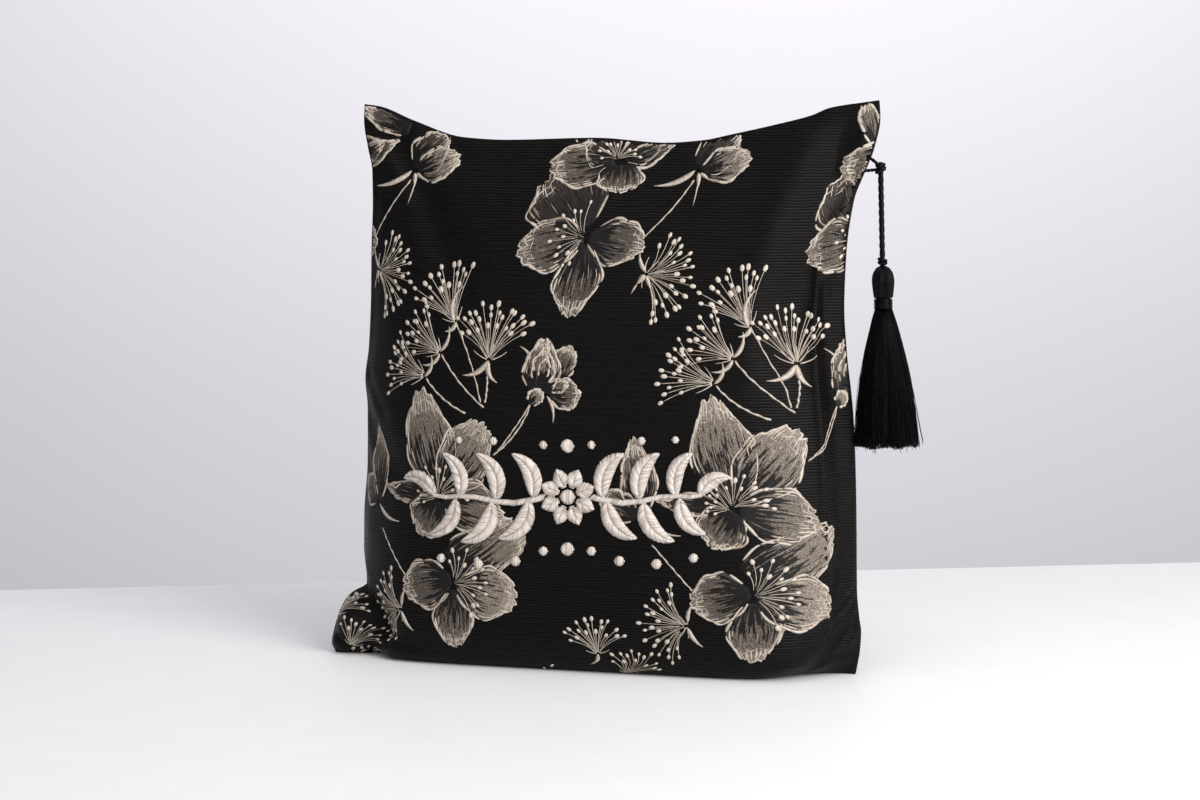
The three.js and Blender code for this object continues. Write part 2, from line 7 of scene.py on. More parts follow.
import bpy
import numpy as np
from bpy.props import FloatProperty, FloatVectorProperty, IntProperty, PointerProperty
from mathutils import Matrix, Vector


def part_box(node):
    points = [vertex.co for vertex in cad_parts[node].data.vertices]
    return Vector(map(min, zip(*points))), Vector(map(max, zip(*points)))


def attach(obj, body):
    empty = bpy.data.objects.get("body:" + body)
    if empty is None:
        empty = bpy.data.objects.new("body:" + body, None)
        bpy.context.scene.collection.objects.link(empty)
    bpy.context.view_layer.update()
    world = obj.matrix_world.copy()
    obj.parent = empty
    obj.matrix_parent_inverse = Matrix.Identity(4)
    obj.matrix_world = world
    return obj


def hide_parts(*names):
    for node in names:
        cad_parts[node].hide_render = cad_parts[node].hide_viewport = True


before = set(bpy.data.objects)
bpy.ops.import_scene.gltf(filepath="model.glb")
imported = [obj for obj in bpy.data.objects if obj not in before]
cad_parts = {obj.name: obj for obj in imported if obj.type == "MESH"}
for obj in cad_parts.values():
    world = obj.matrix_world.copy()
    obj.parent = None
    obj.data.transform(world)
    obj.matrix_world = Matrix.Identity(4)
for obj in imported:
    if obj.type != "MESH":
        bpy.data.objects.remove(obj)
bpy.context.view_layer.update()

bl_info = {
    "name": "Tallit Bag Dressing",
    "version": (1, 0, 0),
    "blender": (4, 5, 0),
    "location": "View3D > Sidebar > Bag",
    "description": "Makes the cloth, woven flowers, ornament, zip, cord and tassel of a brocade bag",
    "category": "Object",
}

MM = 0.001
TINY = 1e-9
STEEP = 0.9
FRONT = -1
BACK = 1

# Sizes of the cloth bag, as in the part
WIDTH = 246.0
HEIGHT = 248.0
DEPTH = 72.0
WALL = 1.5
HEM = 0.5
HEM_RUN = 7.0
SEAM_GAP = 0.3
SEAT_SINK = 1.2
SEAT_HIGH = 0.18
PRESSED_WIDTH = 8.0
FULLEST = 0.3
HALF_WIDTH = WIDTH / 2
HALF_DEPTH = DEPTH / 2
ZIP_AT = 0.885
ZIP_SLOT = 9.0
ZIP_END = 0.93
ZIP_TAPER = 0.06
TAPE_LAP = 3.0
TAPE_THICK = 0.7
CLEARANCE = 0.3
STITCH_AWAY = 2.2
STITCH_LONG = 2.6

# The cloth mesh: how much its columns crowd towards the sides and its rows towards the base, how far its rows
# stay from a slanting edge, how much firmer the wall is at the slit, and the least rise of its inner side
CROWD_SIDES = 0.22
CROWD_BASE = 0.22
ROW_APART = 0.0015
SLIT_FIRM = 3.0
INNER_RISE = 0.1

# Puckers along the seams and soft waves, in millimetres: lengths of three waves, distance from the seam where
# they are highest, their spread, the height of the soft waves, and the strip along a seam that stays calm
PUCKER_WAVES = (5.3, 17, 23)
PUCKER_AT = 5
PUCKER_SPREAD = 7
SOFT_HIGH = 0.35
SEAM_CALM = 3

# Where threads may lie on the cloth, as shares of its width and girth and in millimetres
SIDE_CLEAR = 0.996
BOTTOM_CLEAR = 0.003
TOP_CLEAR = 0.997
SLIT_CLEAR = 0.002
RIB_MISS = 0.3
OFF_TABLE = 0.8
LEAST_HIGH = 0.02

# The way from flat coordinates to the cloth: Newton steps, their reach and the least slopes that they trust
NEWTON_STEPS = 6
NEWTON_REACH = 0.01
LEAST_ACROSS = 40
LEAST_UP = 90
FIRST_HALF = 120

# The same from pixels of the photograph
PIXEL_STEPS = 4
PIXEL_REACH = 0.004
LEAST_AREA = 1e3

# The pattern near the picture face's right edge, let out below the upper part
EDGE_EASE = 10.0
EASE_FROM = 0.55
EASE_TOP = 0.72
EASE_FADE = 0.17

# Photograph: image size, camera and what it stands on
PHOTO_SIZE = (1200, 800)
SENSOR = 36.0
FOCAL = 70.0
CAMERA_TURN = 14.5
CAMERA_DOWN = 5.6
CAMERA_AWAY = 1029.0
CAMERA_HIGH = 218.0
FAR_CLIP = 20
TABLE_BEHIND = 217.5
TABLE_SLANT = 0.134


def columns(names, rows):
    """A short table: each named column becomes one array."""
    return dict(zip(names.split(), np.array(rows, float).T))


SIDE_SEAM = columns("at left right", (
    (0.0, -0.985, 0.935), (0.018, -1.0, 0.942), (0.045, -0.99, 0.95), (0.075, -0.974, 0.953),
    (0.1, -0.95, 0.946), (0.112, -0.925, 0.943), (0.126, -0.878, 0.94), (0.145, -0.882, 0.937),
    (0.19, -0.899, 0.935), (0.25, -0.902, 0.933), (0.35, -0.888, 0.928), (0.45, -0.886, 0.918),
    (0.5, -0.894, 0.908), (0.56, -0.879, 0.893), (0.65, -0.869, 0.881), (0.74, -0.865, 0.887),
    (0.83, -0.858, 0.912), (0.88, -0.859, 0.951), (0.92, -0.874, 0.981), (0.97, -0.889, 1.0),
    (1.0, -0.886, 0.996)))
TOP_SEAM = columns("at rise", (
    (-1.0, 1.0), (-0.94, 0.996), (-0.8, 0.97), (-0.6, 0.94), (-0.42, 0.935), (-0.08, 0.938), (0.2, 0.929),
    (0.34, 0.933), (0.45, 0.943), (0.62, 0.96), (0.75, 0.975), (0.82, 0.988), (0.95, 0.997), (1.0, 1.0)))
MIDDLE = columns("at out up square", (
    (0.0, 0.0, 0.0, 9), (0.04, 0.27, 0.0, 9), (0.08, 0.56, 0.0, 8), (0.105, 0.74, 0.01, 7.4),
    (0.135, 0.87, 0.04, 6.8), (0.18, 0.955, 0.09, 6), (0.26, 1.0, 0.178, 5.4), (0.38, 0.985, 0.31, 4.8),
    (0.54, 0.885, 0.485, 4.2), (0.7, 0.7, 0.66, 3.6), (0.83, 0.47, 0.805, 3.1), (0.93, 0.215, 0.92, 2.7),
    (1.0, 0.0, 1.0, 2.4)))
FOLDS = columns("face u0 w0 u1 w1 wide high", (
    (-1, 0.9, 0.92, 0.8, 0.64, 0.15, -0.055), (-1, 0.72, 0.97, 0.67, 0.62, 0.17, 0.03),
    (-1, -0.86, 0.94, -0.6, 0.78, 0.13, -0.04), (-1, -0.5, 0.94, 0.3, 0.93, 0.14, -0.02),
    (-1, 0.915, 0.25, 0.9, 0.66, 0.07, 0.018), (-1, -0.88, 0.13, -0.82, 0.03, 0.09, -0.1),
    (-1, 0.98, 0.105, 0.72, 0.07, 0.08, -0.04), (-1, -0.97, 0.43, -0.74, 0.4, 0.12, -0.025),
    (1, 0.86, 0.84, 0.66, 0.62, 0.15, -0.05), (1, -0.86, 0.84, -0.64, 0.6, 0.15, -0.05),
    (1, -0.5, 0.8, 0.45, 0.81, 0.2, -0.03), (1, 0.97, 0.11, 0.7, 0.08, 0.09, -0.04),
    (1, -0.97, 0.14, -0.74, 0.1, 0.09, -0.06), (1, -0.1, 0.3, 0.55, 0.46, 0.22, -0.025)))
EAR_ACROSS, EAR_GIRTH, EAR_WIDE, EAR_TALL, EAR_FORWARD = -1.0, 0.02, 0.24, 0.13, 12.0

# Small creases that only the finished cloth has: lines on the cloth, width and height in millimetres
CREASES = columns("face u0 w0 u1 w1 wide high", (
    (-1, 0.905, 0.14, 0.895, 0.74, 1.5, 1.5), (-1, 0.955, 0.2, 0.94, 0.7, 3.2, -1.8),
    (-1, 0.99, 0.09, 0.55, 0.055, 2.6, 0.8), (-1, 0.97, 0.13, 0.7, 0.115, 3.0, -0.7),
    (-1, 0.95, 0.06, 0.62, 0.085, 2.2, -0.6), (-1, -0.99, 0.1, -0.84, 0.075, 3.0, 1.2),
    (-1, -0.97, 0.05, -0.85, 0.03, 2.6, -0.9), (-1, -0.8, 0.13, -0.55, 0.1, 4.5, -0.6),
    (-1, -0.98, 0.52, -0.88, 0.49, 3.4, -0.7), (-1, -0.98, 0.33, -0.9, 0.35, 3.6, 0.6),
    (-1, 0.98, 0.9, 0.86, 0.76, 3.5, -0.9), (-1, 0.985, 0.97, 0.84, 0.86, 4.0, 0.8),
    (-1, -0.985, 0.96, -0.84, 0.87, 4.0, 0.7), (-1, -0.93, 0.985, -0.72, 0.9, 4.5, -0.7),
    (-1, -0.55, 0.985, -0.5, 0.9, 5.0, 0.4), (-1, 0.36, 0.985, 0.4, 0.92, 5.0, -0.4),
    (1, 0.98, 0.2, 0.82, 0.24, 3.4, -0.8), (1, 0.98, 0.42, 0.84, 0.4, 4.0, 0.7),
    (1, -0.98, 0.3, -0.82, 0.33, 3.8, -0.8), (1, -0.98, 0.55, -0.86, 0.52, 4.2, 0.7),
    (1, 0.97, 0.1, 0.6, 0.07, 3.0, 0.8), (1, -0.97, 0.1, -0.62, 0.08, 3.0, 0.8),
    (1, -0.3, 0.84, -0.22, 0.72, 5.0, 0.5), (1, 0.25, 0.84, 0.33, 0.7, 5.5, -0.5),
    (-1, -0.965, 0.035, -0.955, 0.09, 6.0, 2.2)))


def smooth(t):
    """3t^2 - 2t^3 between 0 and 1."""
    s = np.clip(t, 0, 1)
    return s * s * (3 - 2 * s)


def unit(vectors):
    """Vectors divided by their lengths."""
    return vectors / np.maximum(np.linalg.norm(vectors, axis=-1, keepdims=True), TINY)


def quarter_turn(run):
    """Flat vectors turned a quarter to the left."""
    return np.stack((-run[..., 1], run[..., 0]), -1)


def path_reach(path):
    """Distance of every point of a path from its start."""
    return np.concatenate(([0], np.cumsum(np.linalg.norm(np.diff(path, axis=0), axis=1))))


def path_points(at, reach, path):
    """Points of a path at the given distances along it."""
    return np.stack([np.interp(at, reach, column) for column in path.T], -1)


def read(table, at, column):
    """A column's value at a place: a cubic between rows with harmonic means as slopes, so it never
    overshoots."""
    x, y = table["at"], table[column]
    at = np.clip(at, x[0], x[-1])
    i = np.clip(np.searchsorted(x, at) - 1, 0, len(x) - 2)
    step = np.diff(x)
    slope = np.diff(y) / step
    product = slope[:-1] * slope[1:]
    total = np.where(product > 0, slope[:-1] + slope[1:], 1.0)
    bend = np.concatenate((slope[:1], np.where(product > 0, 2 * product / total, 0), slope[-1:]))
    t = (at - x[i]) / step[i]
    return ((2 * t**3 - 3 * t**2 + 1) * y[i] + (t**3 - 2 * t**2 + t) * step[i] * bend[i]
            + (3 * t**2 - 2 * t**3) * y[i + 1] + (t**3 - t**2) * step[i] * bend[i + 1])


def ridges(table, face, u, w, scale):
    """Sum of bell-shaped ridges: height times exp(-(distance to the ridge's line / width)^2)."""
    total = np.zeros(np.broadcast(u, w).shape)
    pu, pw = u * HALF_WIDTH, w * HEIGHT
    for k in np.flatnonzero(table["face"] == face):
        u0, u1 = table["u0"][k] * HALF_WIDTH, table["u1"][k] * HALF_WIDTH
        w0, w1 = table["w0"][k] * HEIGHT, table["w1"][k] * HEIGHT
        du, dw = u1 - u0, w1 - w0
        along = np.clip(((pu - u0) * du + (pw - w0) * dw) / (du * du + dw * dw), 0, 1)
        away = np.hypot(pu - u0 - along * du, pw - w0 - along * dw) / (table["wide"][k] * scale)
        total += table["high"][k] * scale * np.exp(-away * away)
    return total


def seam_distance(u, w):
    """Shortest way on the cloth to a seam."""
    return np.minimum(np.minimum((1 - np.abs(u)) * HALF_WIDTH, (1 - w) * HEIGHT), w * HEIGHT)


def cloth_point(face, u, w):
    """The bag's surface, as in the part: between the side seams x runs evenly with u; height is the top
    seam's height times the middle section's rise, which fades to an even rise at the side seams; depth is the
    middle section's depth times 1 - |u|^square, plus folds, carried on a seam surface that leans forward at
    one corner."""
    left, right = read(SIDE_SEAM, w, "left"), read(SIDE_SEAM, w, "right")
    top = HEIGHT * read(TOP_SEAM, u, "rise")
    pressed = 1 - np.abs(u) ** PRESSED_WIDTH
    sunk = SEAT_SINK * pressed * (1 - smooth(w / SEAT_HIGH))
    quiet = smooth(seam_distance(u, w) / HEM_RUN)
    full = HALF_DEPTH * read(MIDDLE, w, "out") * (1 - np.abs(u) ** read(MIDDLE, w, "square"))
    full = np.maximum(0, full + ridges(FOLDS, face, u, w, DEPTH) * quiet)
    out = SEAM_GAP / 2 + HEM + (WALL - HEM) * quiet + full * (HALF_DEPTH - SEAM_GAP / 2 - WALL) / HALF_DEPTH
    lean = EAR_FORWARD * np.exp(-((u - EAR_ACROSS) / EAR_WIDE) ** 2 - ((w - EAR_GIRTH) / EAR_TALL) ** 2)
    x = HALF_WIDTH * (left + (right - left) * (u + 1) / 2)
    z = np.maximum(0, top * (w + (read(MIDDLE, w, "up") - w) * pressed) - sunk)
    return np.stack(np.broadcast_arrays(x, face * out - lean, z), -1)


def normals(points, face):
    """Unit normals of a grid of points: the cross product of its two directions, turned outwards."""
    across = np.gradient(points, axis=1)
    upward = np.gradient(points, axis=0)
    return unit(np.cross(across, upward) * -face)


class ClothFace:
    """One face of the bag as a fine grid: places u across and w up the girth, points, normals, and a flat map
    of the pattern in millimetres: the distance along the cloth from the middle, eased near the right edge,
    and the height of the rib that passes there."""

    def __init__(self, face, shift):
        settings = bpy.context.scene.bag_cloth
        self.face = face
        self.shift = shift
        t = np.linspace(-1, 1, settings.columns)
        self.u = (1 + CROWD_SIDES) * t - CROWD_SIDES * t**3
        rise = np.linspace(0, 1, settings.rows)
        self.w = (1 - CROWD_BASE) * rise + CROWD_BASE * rise**2
        u, w = self.u[None, :], self.w[:, None]
        points = cloth_point(face, u, w)
        normal = normals(points, face)
        self.points = points + normal * self.relief(u, w, settings)[..., None]
        self.points[..., 2] = np.maximum(self.points[..., 2], 0)
        self.normals = normals(self.points, face)
        reach = np.linalg.norm(np.diff(self.points, axis=1), axis=-1)
        reach = np.concatenate((np.zeros((len(self.w), 1)), np.cumsum(reach, axis=1)), axis=1)
        middle = len(self.u) // 2
        ease = smooth((u - EASE_FROM) / (1 - EASE_FROM)) * smooth((EASE_TOP - w) / EASE_FADE)
        self.across = reach - reach[:, middle:middle + 1] - EDGE_EASE * ease
        self.rib = self.rib_heights()

    def rib_heights(self):
        """Height of the ribs that pass each place: level above the bag's fullest rows, and below them as far
        down as the cloth's own length."""
        z = self.points[..., 2]
        length = np.linalg.norm(np.diff(self.points, axis=0), axis=-1)
        extra = np.where(self.w[1:, None] < FULLEST, length - np.diff(z, axis=0), 0)
        from_below = np.concatenate((np.zeros((1, z.shape[1])), np.cumsum(extra, axis=0)))
        return z + from_below - from_below[-1]

    def relief(self, u, w, settings):
        """Creases, puckers along the seams that die away from them, and soft waves; none where the bag is
        pressed flat."""
        far = seam_distance(u, w)
        along = u * HALF_WIDTH * smooth((np.abs(w - 0.5) - 0.3) / 0.1) + w * HEIGHT
        short, middle, long = PUCKER_WAVES
        wave = np.sin(along / short + 2 * np.sin(along / middle)) * np.sin(along / long + 1)
        puckers = settings.pucker_height / MM * wave * np.exp(-((far - PUCKER_AT) / PUCKER_SPREAD) ** 2)
        soft = SOFT_HIGH * np.sin(u * 5.1 + 3 * w) * np.sin(w * 9.3 - 2 * u + self.face)
        rest = smooth((w - 0.1) / 0.06) + smooth((np.abs(u) - 0.9) / 0.05)
        high = ridges(CREASES, self.face, u, w, 1.0) + puckers + soft
        return high * np.clip(rest, 0, 1) * smooth(far / SEAM_CALM)

    def sample(self, grid, u, w):
        """Bilinear reading of a grid at places u, w."""
        i = np.interp(u, self.u, np.arange(len(self.u)))
        j = np.interp(w, self.w, np.arange(len(self.w)))
        i0 = np.minimum(i.astype(int), len(self.u) - 2)
        j0 = np.minimum(j.astype(int), len(self.w) - 2)
        fi, fj = i - i0, j - j0
        if grid.ndim == 3:
            fi, fj = fi[..., None], fj[..., None]
        low = grid[j0, i0] * (1 - fi) + grid[j0, i0 + 1] * fi
        high = grid[j0 + 1, i0] * (1 - fi) + grid[j0 + 1, i0 + 1] * fi
        return low * (1 - fj) + high * fj

    def flat(self, u, w):
        """Flat cloth coordinates of places u, w."""
        return np.stack((self.sample(self.across, u, w) * -self.face, self.sample(self.rib, u, w)), -1)

    def place(self, flat):
        """Flat cloth coordinates to u, w by Newton steps: u from the distance across the cloth, w from the
        height of the rib, which stays level from side to side."""
        shape = flat.shape[:-1]
        across, rib = (flat[..., 0] * -self.face).ravel(), flat[..., 1].ravel()
        u = np.clip(across / FIRST_HALF, -1, 1)
        w = np.interp(rib, self.rib[:, len(self.u) // 2], self.w)
        step = NEWTON_REACH
        for _ in range(NEWTON_STEPS):
            slope = (self.sample(self.across, np.minimum(u + step, 1), w)
                     - self.sample(self.across, np.maximum(u - step, -1), w)) / (2 * step)
            miss = across - self.sample(self.across, u, w)
            u = np.clip(u + miss / np.maximum(slope, LEAST_ACROSS), -1, 1)
            slope = (self.sample(self.rib, u, np.minimum(w + step, 1))
                     - self.sample(self.rib, u, np.maximum(w - step, 0))) / (2 * step)
            miss = rib - self.sample(self.rib, u, w)
            w = np.clip(w + miss / np.maximum(slope, LEAST_UP), 0, 1)
        return u.reshape(shape), w.reshape(shape)

    def inside(self, flat):
        """True where flat coordinates lie on this face's cloth, clear of its seams, of the zip's slit and of
        the table."""
        u, w = self.place(flat)
        on = (np.abs(u) < SIDE_CLEAR) & (w > BOTTOM_CLEAR) & (w < TOP_CLEAR)
        on &= np.abs(self.sample(self.rib, u, w) - flat[..., 1]) < RIB_MISS
        on &= self.sample(self.points[..., 2], u, w) > OFF_TABLE
        if self.face == BACK:
            low, high = slit(u)
            on &= (w < low - SLIT_CLEAR) | (w > high + SLIT_CLEAR)
        return on

    def surface(self, flat, lift):
        """Point on the cloth at flat coordinates, raised by lift along the normal."""
        u, w = self.place(flat)
        if self.face == BACK:
            low, high = slit(u)
            w = np.where((w > low) & (w < high), np.where(w < ZIP_AT, low, high), w)
        normal = self.sample(self.normals, u, w)
        point = self.sample(self.points, u, w) + normal * np.asarray(lift)[..., None]
        point[..., 2] = np.maximum(point[..., 2], LEAST_HIGH)
        return point

    def from_photo(self, pixels):
        """Flat coordinates under pixels of the photograph: the nearest grid point seen there, then Newton
        steps."""
        seen = photo_pixels(self.points)
        j, i = np.unravel_index([np.argmin(((seen - p) ** 2).sum(-1)) for p in pixels], seen.shape[:2])
        u, w = self.u[i], self.w[j]
        step = PIXEL_REACH

        def look(du, dw):
            """Pixels of the places, moved by du and dw."""
            return photo_pixels(self.sample(self.points, np.clip(u + du, -1, 1), np.clip(w + dw, 0, 1)))

        for _ in range(PIXEL_STEPS):
            gu = (look(step, 0) - look(-step, 0)) / (2 * step)
            gw = (look(0, step) - look(0, -step)) / (2 * step)
            miss = pixels - look(0, 0)
            det = gu[:, 0] * gw[:, 1] - gu[:, 1] * gw[:, 0]
            det = np.where(np.abs(det) < LEAST_AREA, LEAST_AREA, det)
            u = np.clip(u + (miss[:, 0] * gw[:, 1] - miss[:, 1] * gw[:, 0]) / det, -1, 1)
            w = np.clip(w + (gu[:, 0] * miss[:, 1] - gu[:, 1] * miss[:, 0]) / det, 0, 1)
        return self.flat(u, w)


def slit(u):
    """Lower and upper edge of the zip's slit as shares of the girth: a slot that closes towards its ends."""
    half = SEAM_GAP / 2 + (ZIP_SLOT - SEAM_GAP) / 2 * smooth((ZIP_END - np.abs(u)) / ZIP_TAPER)
    return ZIP_AT - half / HEIGHT, ZIP_AT + half / HEIGHT


def photo_pixels(points):
    """Pixels of the photograph where points in millimetres appear, through the scene's camera."""
    turn, down = math.radians(CAMERA_TURN), math.radians(CAMERA_DOWN)
    forward = np.array((-math.sin(turn) * math.cos(down), math.cos(turn) * math.cos(down), -math.sin(down)))
    right = np.array((math.cos(turn), math.sin(turn), 0.0))
    upward = np.cross(right, forward)
    eye = np.array((math.sin(turn) * CAMERA_AWAY, -math.cos(turn) * CAMERA_AWAY, CAMERA_HIGH))
    ray = points - eye
    scale = FOCAL / SENSOR * PHOTO_SIZE[0] / (ray @ forward)
    middle = np.array(PHOTO_SIZE) / 2
    return middle + np.stack((scale * (ray @ right), -scale * (ray @ upward)), -1)


def outward(points, quads, triangles):
    """The faces as they are, or all turned round if the volume that they close, the sum of a . (b x c), is
    below zero."""
    corners = np.concatenate((quads[:, (0, 1, 2)], quads[:, (0, 2, 3)], triangles))
    a, b, c = (points[corners[:, k]] - points.mean(0) for k in range(3))
    if np.einsum("ij,ij->", a, np.cross(b, c)) < 0:
        return quads[:, ::-1], triangles[:, ::-1]
    return quads, triangles


def build(name, points, quads=(), triangles=(), uv=None, values=None, slot="brocade", material=None, show=()):
    """A mesh object from arrays: points in millimetres, faces turned outwards, and a UV and named values for
    each point. It takes the place of the part's nodes in show."""
    quads = np.asarray(quads, np.int64).reshape(-1, 4)
    triangles = np.asarray(triangles, np.int64).reshape(-1, 3)
    p = points.reshape(-1, 3)
    quads, triangles = outward(p, quads, triangles)
    loops = np.concatenate((quads.ravel(), triangles.ravel()))
    sizes = np.concatenate((np.full(len(quads), 4), np.full(len(triangles), 3)))
    mesh = bpy.data.meshes.new(name)
    mesh.vertices.add(len(p))
    mesh.vertices.foreach_set("co", (p * MM).ravel())
    mesh.loops.add(len(loops))
    mesh.loops.foreach_set("vertex_index", loops)
    mesh.polygons.add(len(sizes))
    mesh.polygons.foreach_set("loop_start", np.concatenate(([0], np.cumsum(sizes)[:-1])))
    mesh.polygons.foreach_set("use_smooth", np.ones(len(sizes), bool))
    mesh.update(calc_edges=True)
    if uv is not None:
        layer = mesh.uv_layers.new(name="cloth")
        layer.data.foreach_set("uv", uv.reshape(-1, 2)[loops].ravel())
    for key, array in (values or {}).items():
        mesh.attributes.new(key, "FLOAT", "POINT").data.foreach_set("value", np.ascontiguousarray(array))
    mesh.materials.append(material)
    piece = bpy.data.objects.new(name, mesh)
    bpy.context.scene.collection.objects.link(piece)
    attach(piece, "root")
    if show:
        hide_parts(*show)
    return piece


def grid_quads(rows, cols, around=False):
    """Faces of a grid of rows by cols points, the last column joined to the first if it goes around."""
    index = np.arange(rows * cols).reshape(rows, cols)
    if around:
        index = np.concatenate((index, index[:, :1]), axis=1)
    return np.stack((index[:-1, :-1], index[:-1, 1:], index[1:, 1:], index[1:, :-1]), -1).reshape(-1, 4)


def close_sheet(quads, offset):
    """Faces of a closed sheet: the given top faces, the same faces turned over on points offset further on,
    and walls along every edge that only one top face uses."""
    edges = np.concatenate([quads[:, (k, (k + 1) % 4)] for k in range(4)])
    key = np.sort(edges, axis=1)
    _, first, count = np.unique(key[:, 0] * offset + key[:, 1], return_index=True, return_counts=True)
    rim = edges[first[count == 1]]
    walls = np.stack((rim[:, 1], rim[:, 0], rim[:, 0] + offset, rim[:, 1] + offset), -1)
    return np.concatenate((quads, quads[:, ::-1] + offset, walls))


def strokes(cloth, paths, width, high, lift, tone):
    """Raised threads: each path in flat coordinates, (count, steps, 2), gets a left foot, a crest and a right
    foot at every step. Feet lie half the width to each side of the path, and the crest stands high over them.
    A path that leaves the cloth is shortened to the stretch that lies on it."""
    inside = cloth.inside(paths)
    keep = inside.sum(1) > 2
    shape = inside.shape
    width, lift = (np.broadcast_to(value, shape)[keep] for value in (width, lift))
    tone = np.broadcast_to(tone, shape[:1])[keep]
    paths, inside = paths[keep], inside[keep]
    count, steps = inside.shape
    start = inside.argmax(1)
    end = steps - 1 - inside[:, ::-1].argmax(1)
    where = start[:, None] + (end - start)[:, None] * np.linspace(0, 1, steps)
    low = np.minimum(where.astype(int), steps - 2)
    part = where - low
    row = np.arange(count)[:, None]
    paths = paths[row, low] * (1 - part[..., None]) + paths[row, low + 1] * part[..., None]
    width = width[row, low] * (1 - part) + width[row, low + 1] * part
    lift = lift[row, low] * (1 - part) + lift[row, low + 1] * part
    side = unit(quarter_turn(np.gradient(paths, axis=1))) * (width / 2)[..., None]
    feet = cloth.surface(paths + side, lift), cloth.surface(paths - side, lift)
    section = np.stack((feet[0], cloth.surface(paths, lift + high), feet[1]), 2)
    base = (np.arange(count) * steps * 3)[:, None, None]
    quads = (base + grid_quads(steps, 3, around=True)[None]).reshape(-1, 4)
    ends = np.array(((2, 1, 0), (steps * 3 - 3, steps * 3 - 2, steps * 3 - 1)))
    return {"points": section.reshape(-1, 3), "quads": quads, "triangles": (base + ends[None]).reshape(-1, 3),
            "tone": np.repeat(tone, steps * 3)}


def merge(parts):
    """One set of points and faces from several."""
    points, quads, triangles, extra, offset = [], [], [], [], 0
    for part in parts:
        p = part["points"].reshape(-1, 3)
        four = np.asarray(part.get("quads", ()), np.int64).reshape(-1, 4)
        three = np.asarray(part.get("triangles", ()), np.int64).reshape(-1, 3)
        four, three = outward(p, four, three)
        points.append(p)
        quads.append(four + offset)
        triangles.append(three + offset)
        extra.append(np.broadcast_to(part.get("tone", 0.5), (len(p),)))
        offset += len(p)
    return tuple(np.concatenate(lists) for lists in (points, quads, triangles, extra))


def end_caps(rings, sides):
    """Triangles that close the first and the last ring of a tube."""
    fan = np.stack((np.zeros(sides - 2, int), np.arange(1, sides - 1), np.arange(2, sides)), -1)
    return np.concatenate((fan[:, ::-1], fan + (rings - 1) * sides))


def build_parts(name, parts, toned=False, **rest):
    """A mesh object from several parts, with their tones as a value of each point if toned."""
    points, quads, triangles, tone = merge(parts)
    return build(name, points, quads, triangles, values={"tone": tone} if toned else None, **rest)


def tubes(paths, radius, sides):
    """Closed tubes along 3-D paths (count, steps, 3): a ring of sides points at each step, square to the
    path."""
    count, steps = paths.shape[:2]
    heading = unit(np.gradient(paths, axis=1))
    reference = np.where(np.abs(heading[..., 1:2]) < STEEP, (0.0, 1.0, 0.0), (1.0, 0.0, 0.0))
    one = unit(np.cross(heading, reference))
    two = np.cross(heading, one)
    turn = np.arange(sides) * 2 * np.pi / sides
    ring = one[:, :, None] * np.cos(turn)[:, None] + two[:, :, None] * np.sin(turn)[:, None]
    points = paths[:, :, None] + ring * np.broadcast_to(radius, (count, steps))[:, :, None, None]
    base = (np.arange(count) * steps * sides)[:, None, None]
    quads = (base + grid_quads(steps, sides, around=True)[None]).reshape(-1, 4)
    caps = (base + end_caps(steps, sides)[None]).reshape(-1, 3)
    return {"points": points.reshape(-1, 3), "quads": quads, "triangles": caps}


# Materials. Colours are linear, and bump distances are in metres.

RIB_DRIFT = 1.6
DRIFT_STRETCH = (0.04, 0.04, 1)
RUN_STRETCH = (0.14, 0.9, 1)
SILK_DARK = (0.0003, 0.0003, 0.0004, 1)
SILK_STRETCH = (2600.0, 2600.0, 60.0)
METAL_WORN = (0.32, 0.31, 0.3, 1)
METAL_STRETCH = (300.0, 300.0, 4000.0)
TAPE_DARK, TAPE_LIGHT = (0.004, 0.004, 0.004, 1), (0.02, 0.02, 0.021, 1)
NYLON_DARK, NYLON_LIGHT = (0.004, 0.004, 0.0045, 1), (0.03, 0.03, 0.032, 1)
MOTTLE_STRETCH = (1.3, 2.6, 1)
GROUND_ROUGH, RIB_GLOSS = 0.4, 0.18
MOTTLE_SHARE = 0.72
STREAKS_FADE = 0.42
PALE_FROM, PALE_GROWTH = 0.85, 0.5
SILK_ROUGH, SILK_GLOSS = 0.5, 0.36
SPECKLE, LINE_TWIST, SATIN_SPECKLE, SATIN_TWIST, SCUFF = 900.0, 3500.0, 1400.0, 5000.0, 800.0
MIX_SHARE, MIX_ONE, MIX_TWO, MIX_RESULT = 0, 6, 7, 2
BUMPS = {"weave": 0.00022, "petal": 0.00018, "line": 0.0001, "satin": 0.00006, "silk": 0.00005,
         "metal": 0.00002, "tape": 0.00012, "nylon": 0.00003}


def group(name, inputs, outputs):
    """A shader node group with named sockets, or None if it is there already."""
    if name in bpy.data.node_groups:
        return None
    tree = bpy.data.node_groups.new(name, "ShaderNodeTree")
    for label, kind, default in inputs:
        socket = tree.interface.new_socket(label, in_out="INPUT", socket_type=kind)
        if default is not None:
            socket.default_value = default
    for label, kind in outputs:
        tree.interface.new_socket(label, in_out="OUTPUT", socket_type=kind)
    return tree


def add(tree, kind, values=None, **attributes):
    """A node with its settings, and its input sockets set or linked by name or number."""
    node = tree.nodes.new(kind)
    for key, value in attributes.items():
        setattr(node, key, value)
    for key, value in (values or {}).items():
        socket = node.inputs[key]
        if isinstance(value, bpy.types.NodeSocket):
            tree.links.new(value, socket)
        else:
            socket.default_value = value
    return node


def maths(tree, operation, *values):
    """A Math node's result."""
    return add(tree, "ShaderNodeMath", dict(enumerate(values)), operation=operation).outputs[0]


def product(tree, one, two):
    """One value times another."""
    return maths(tree, "MULTIPLY", one, two)


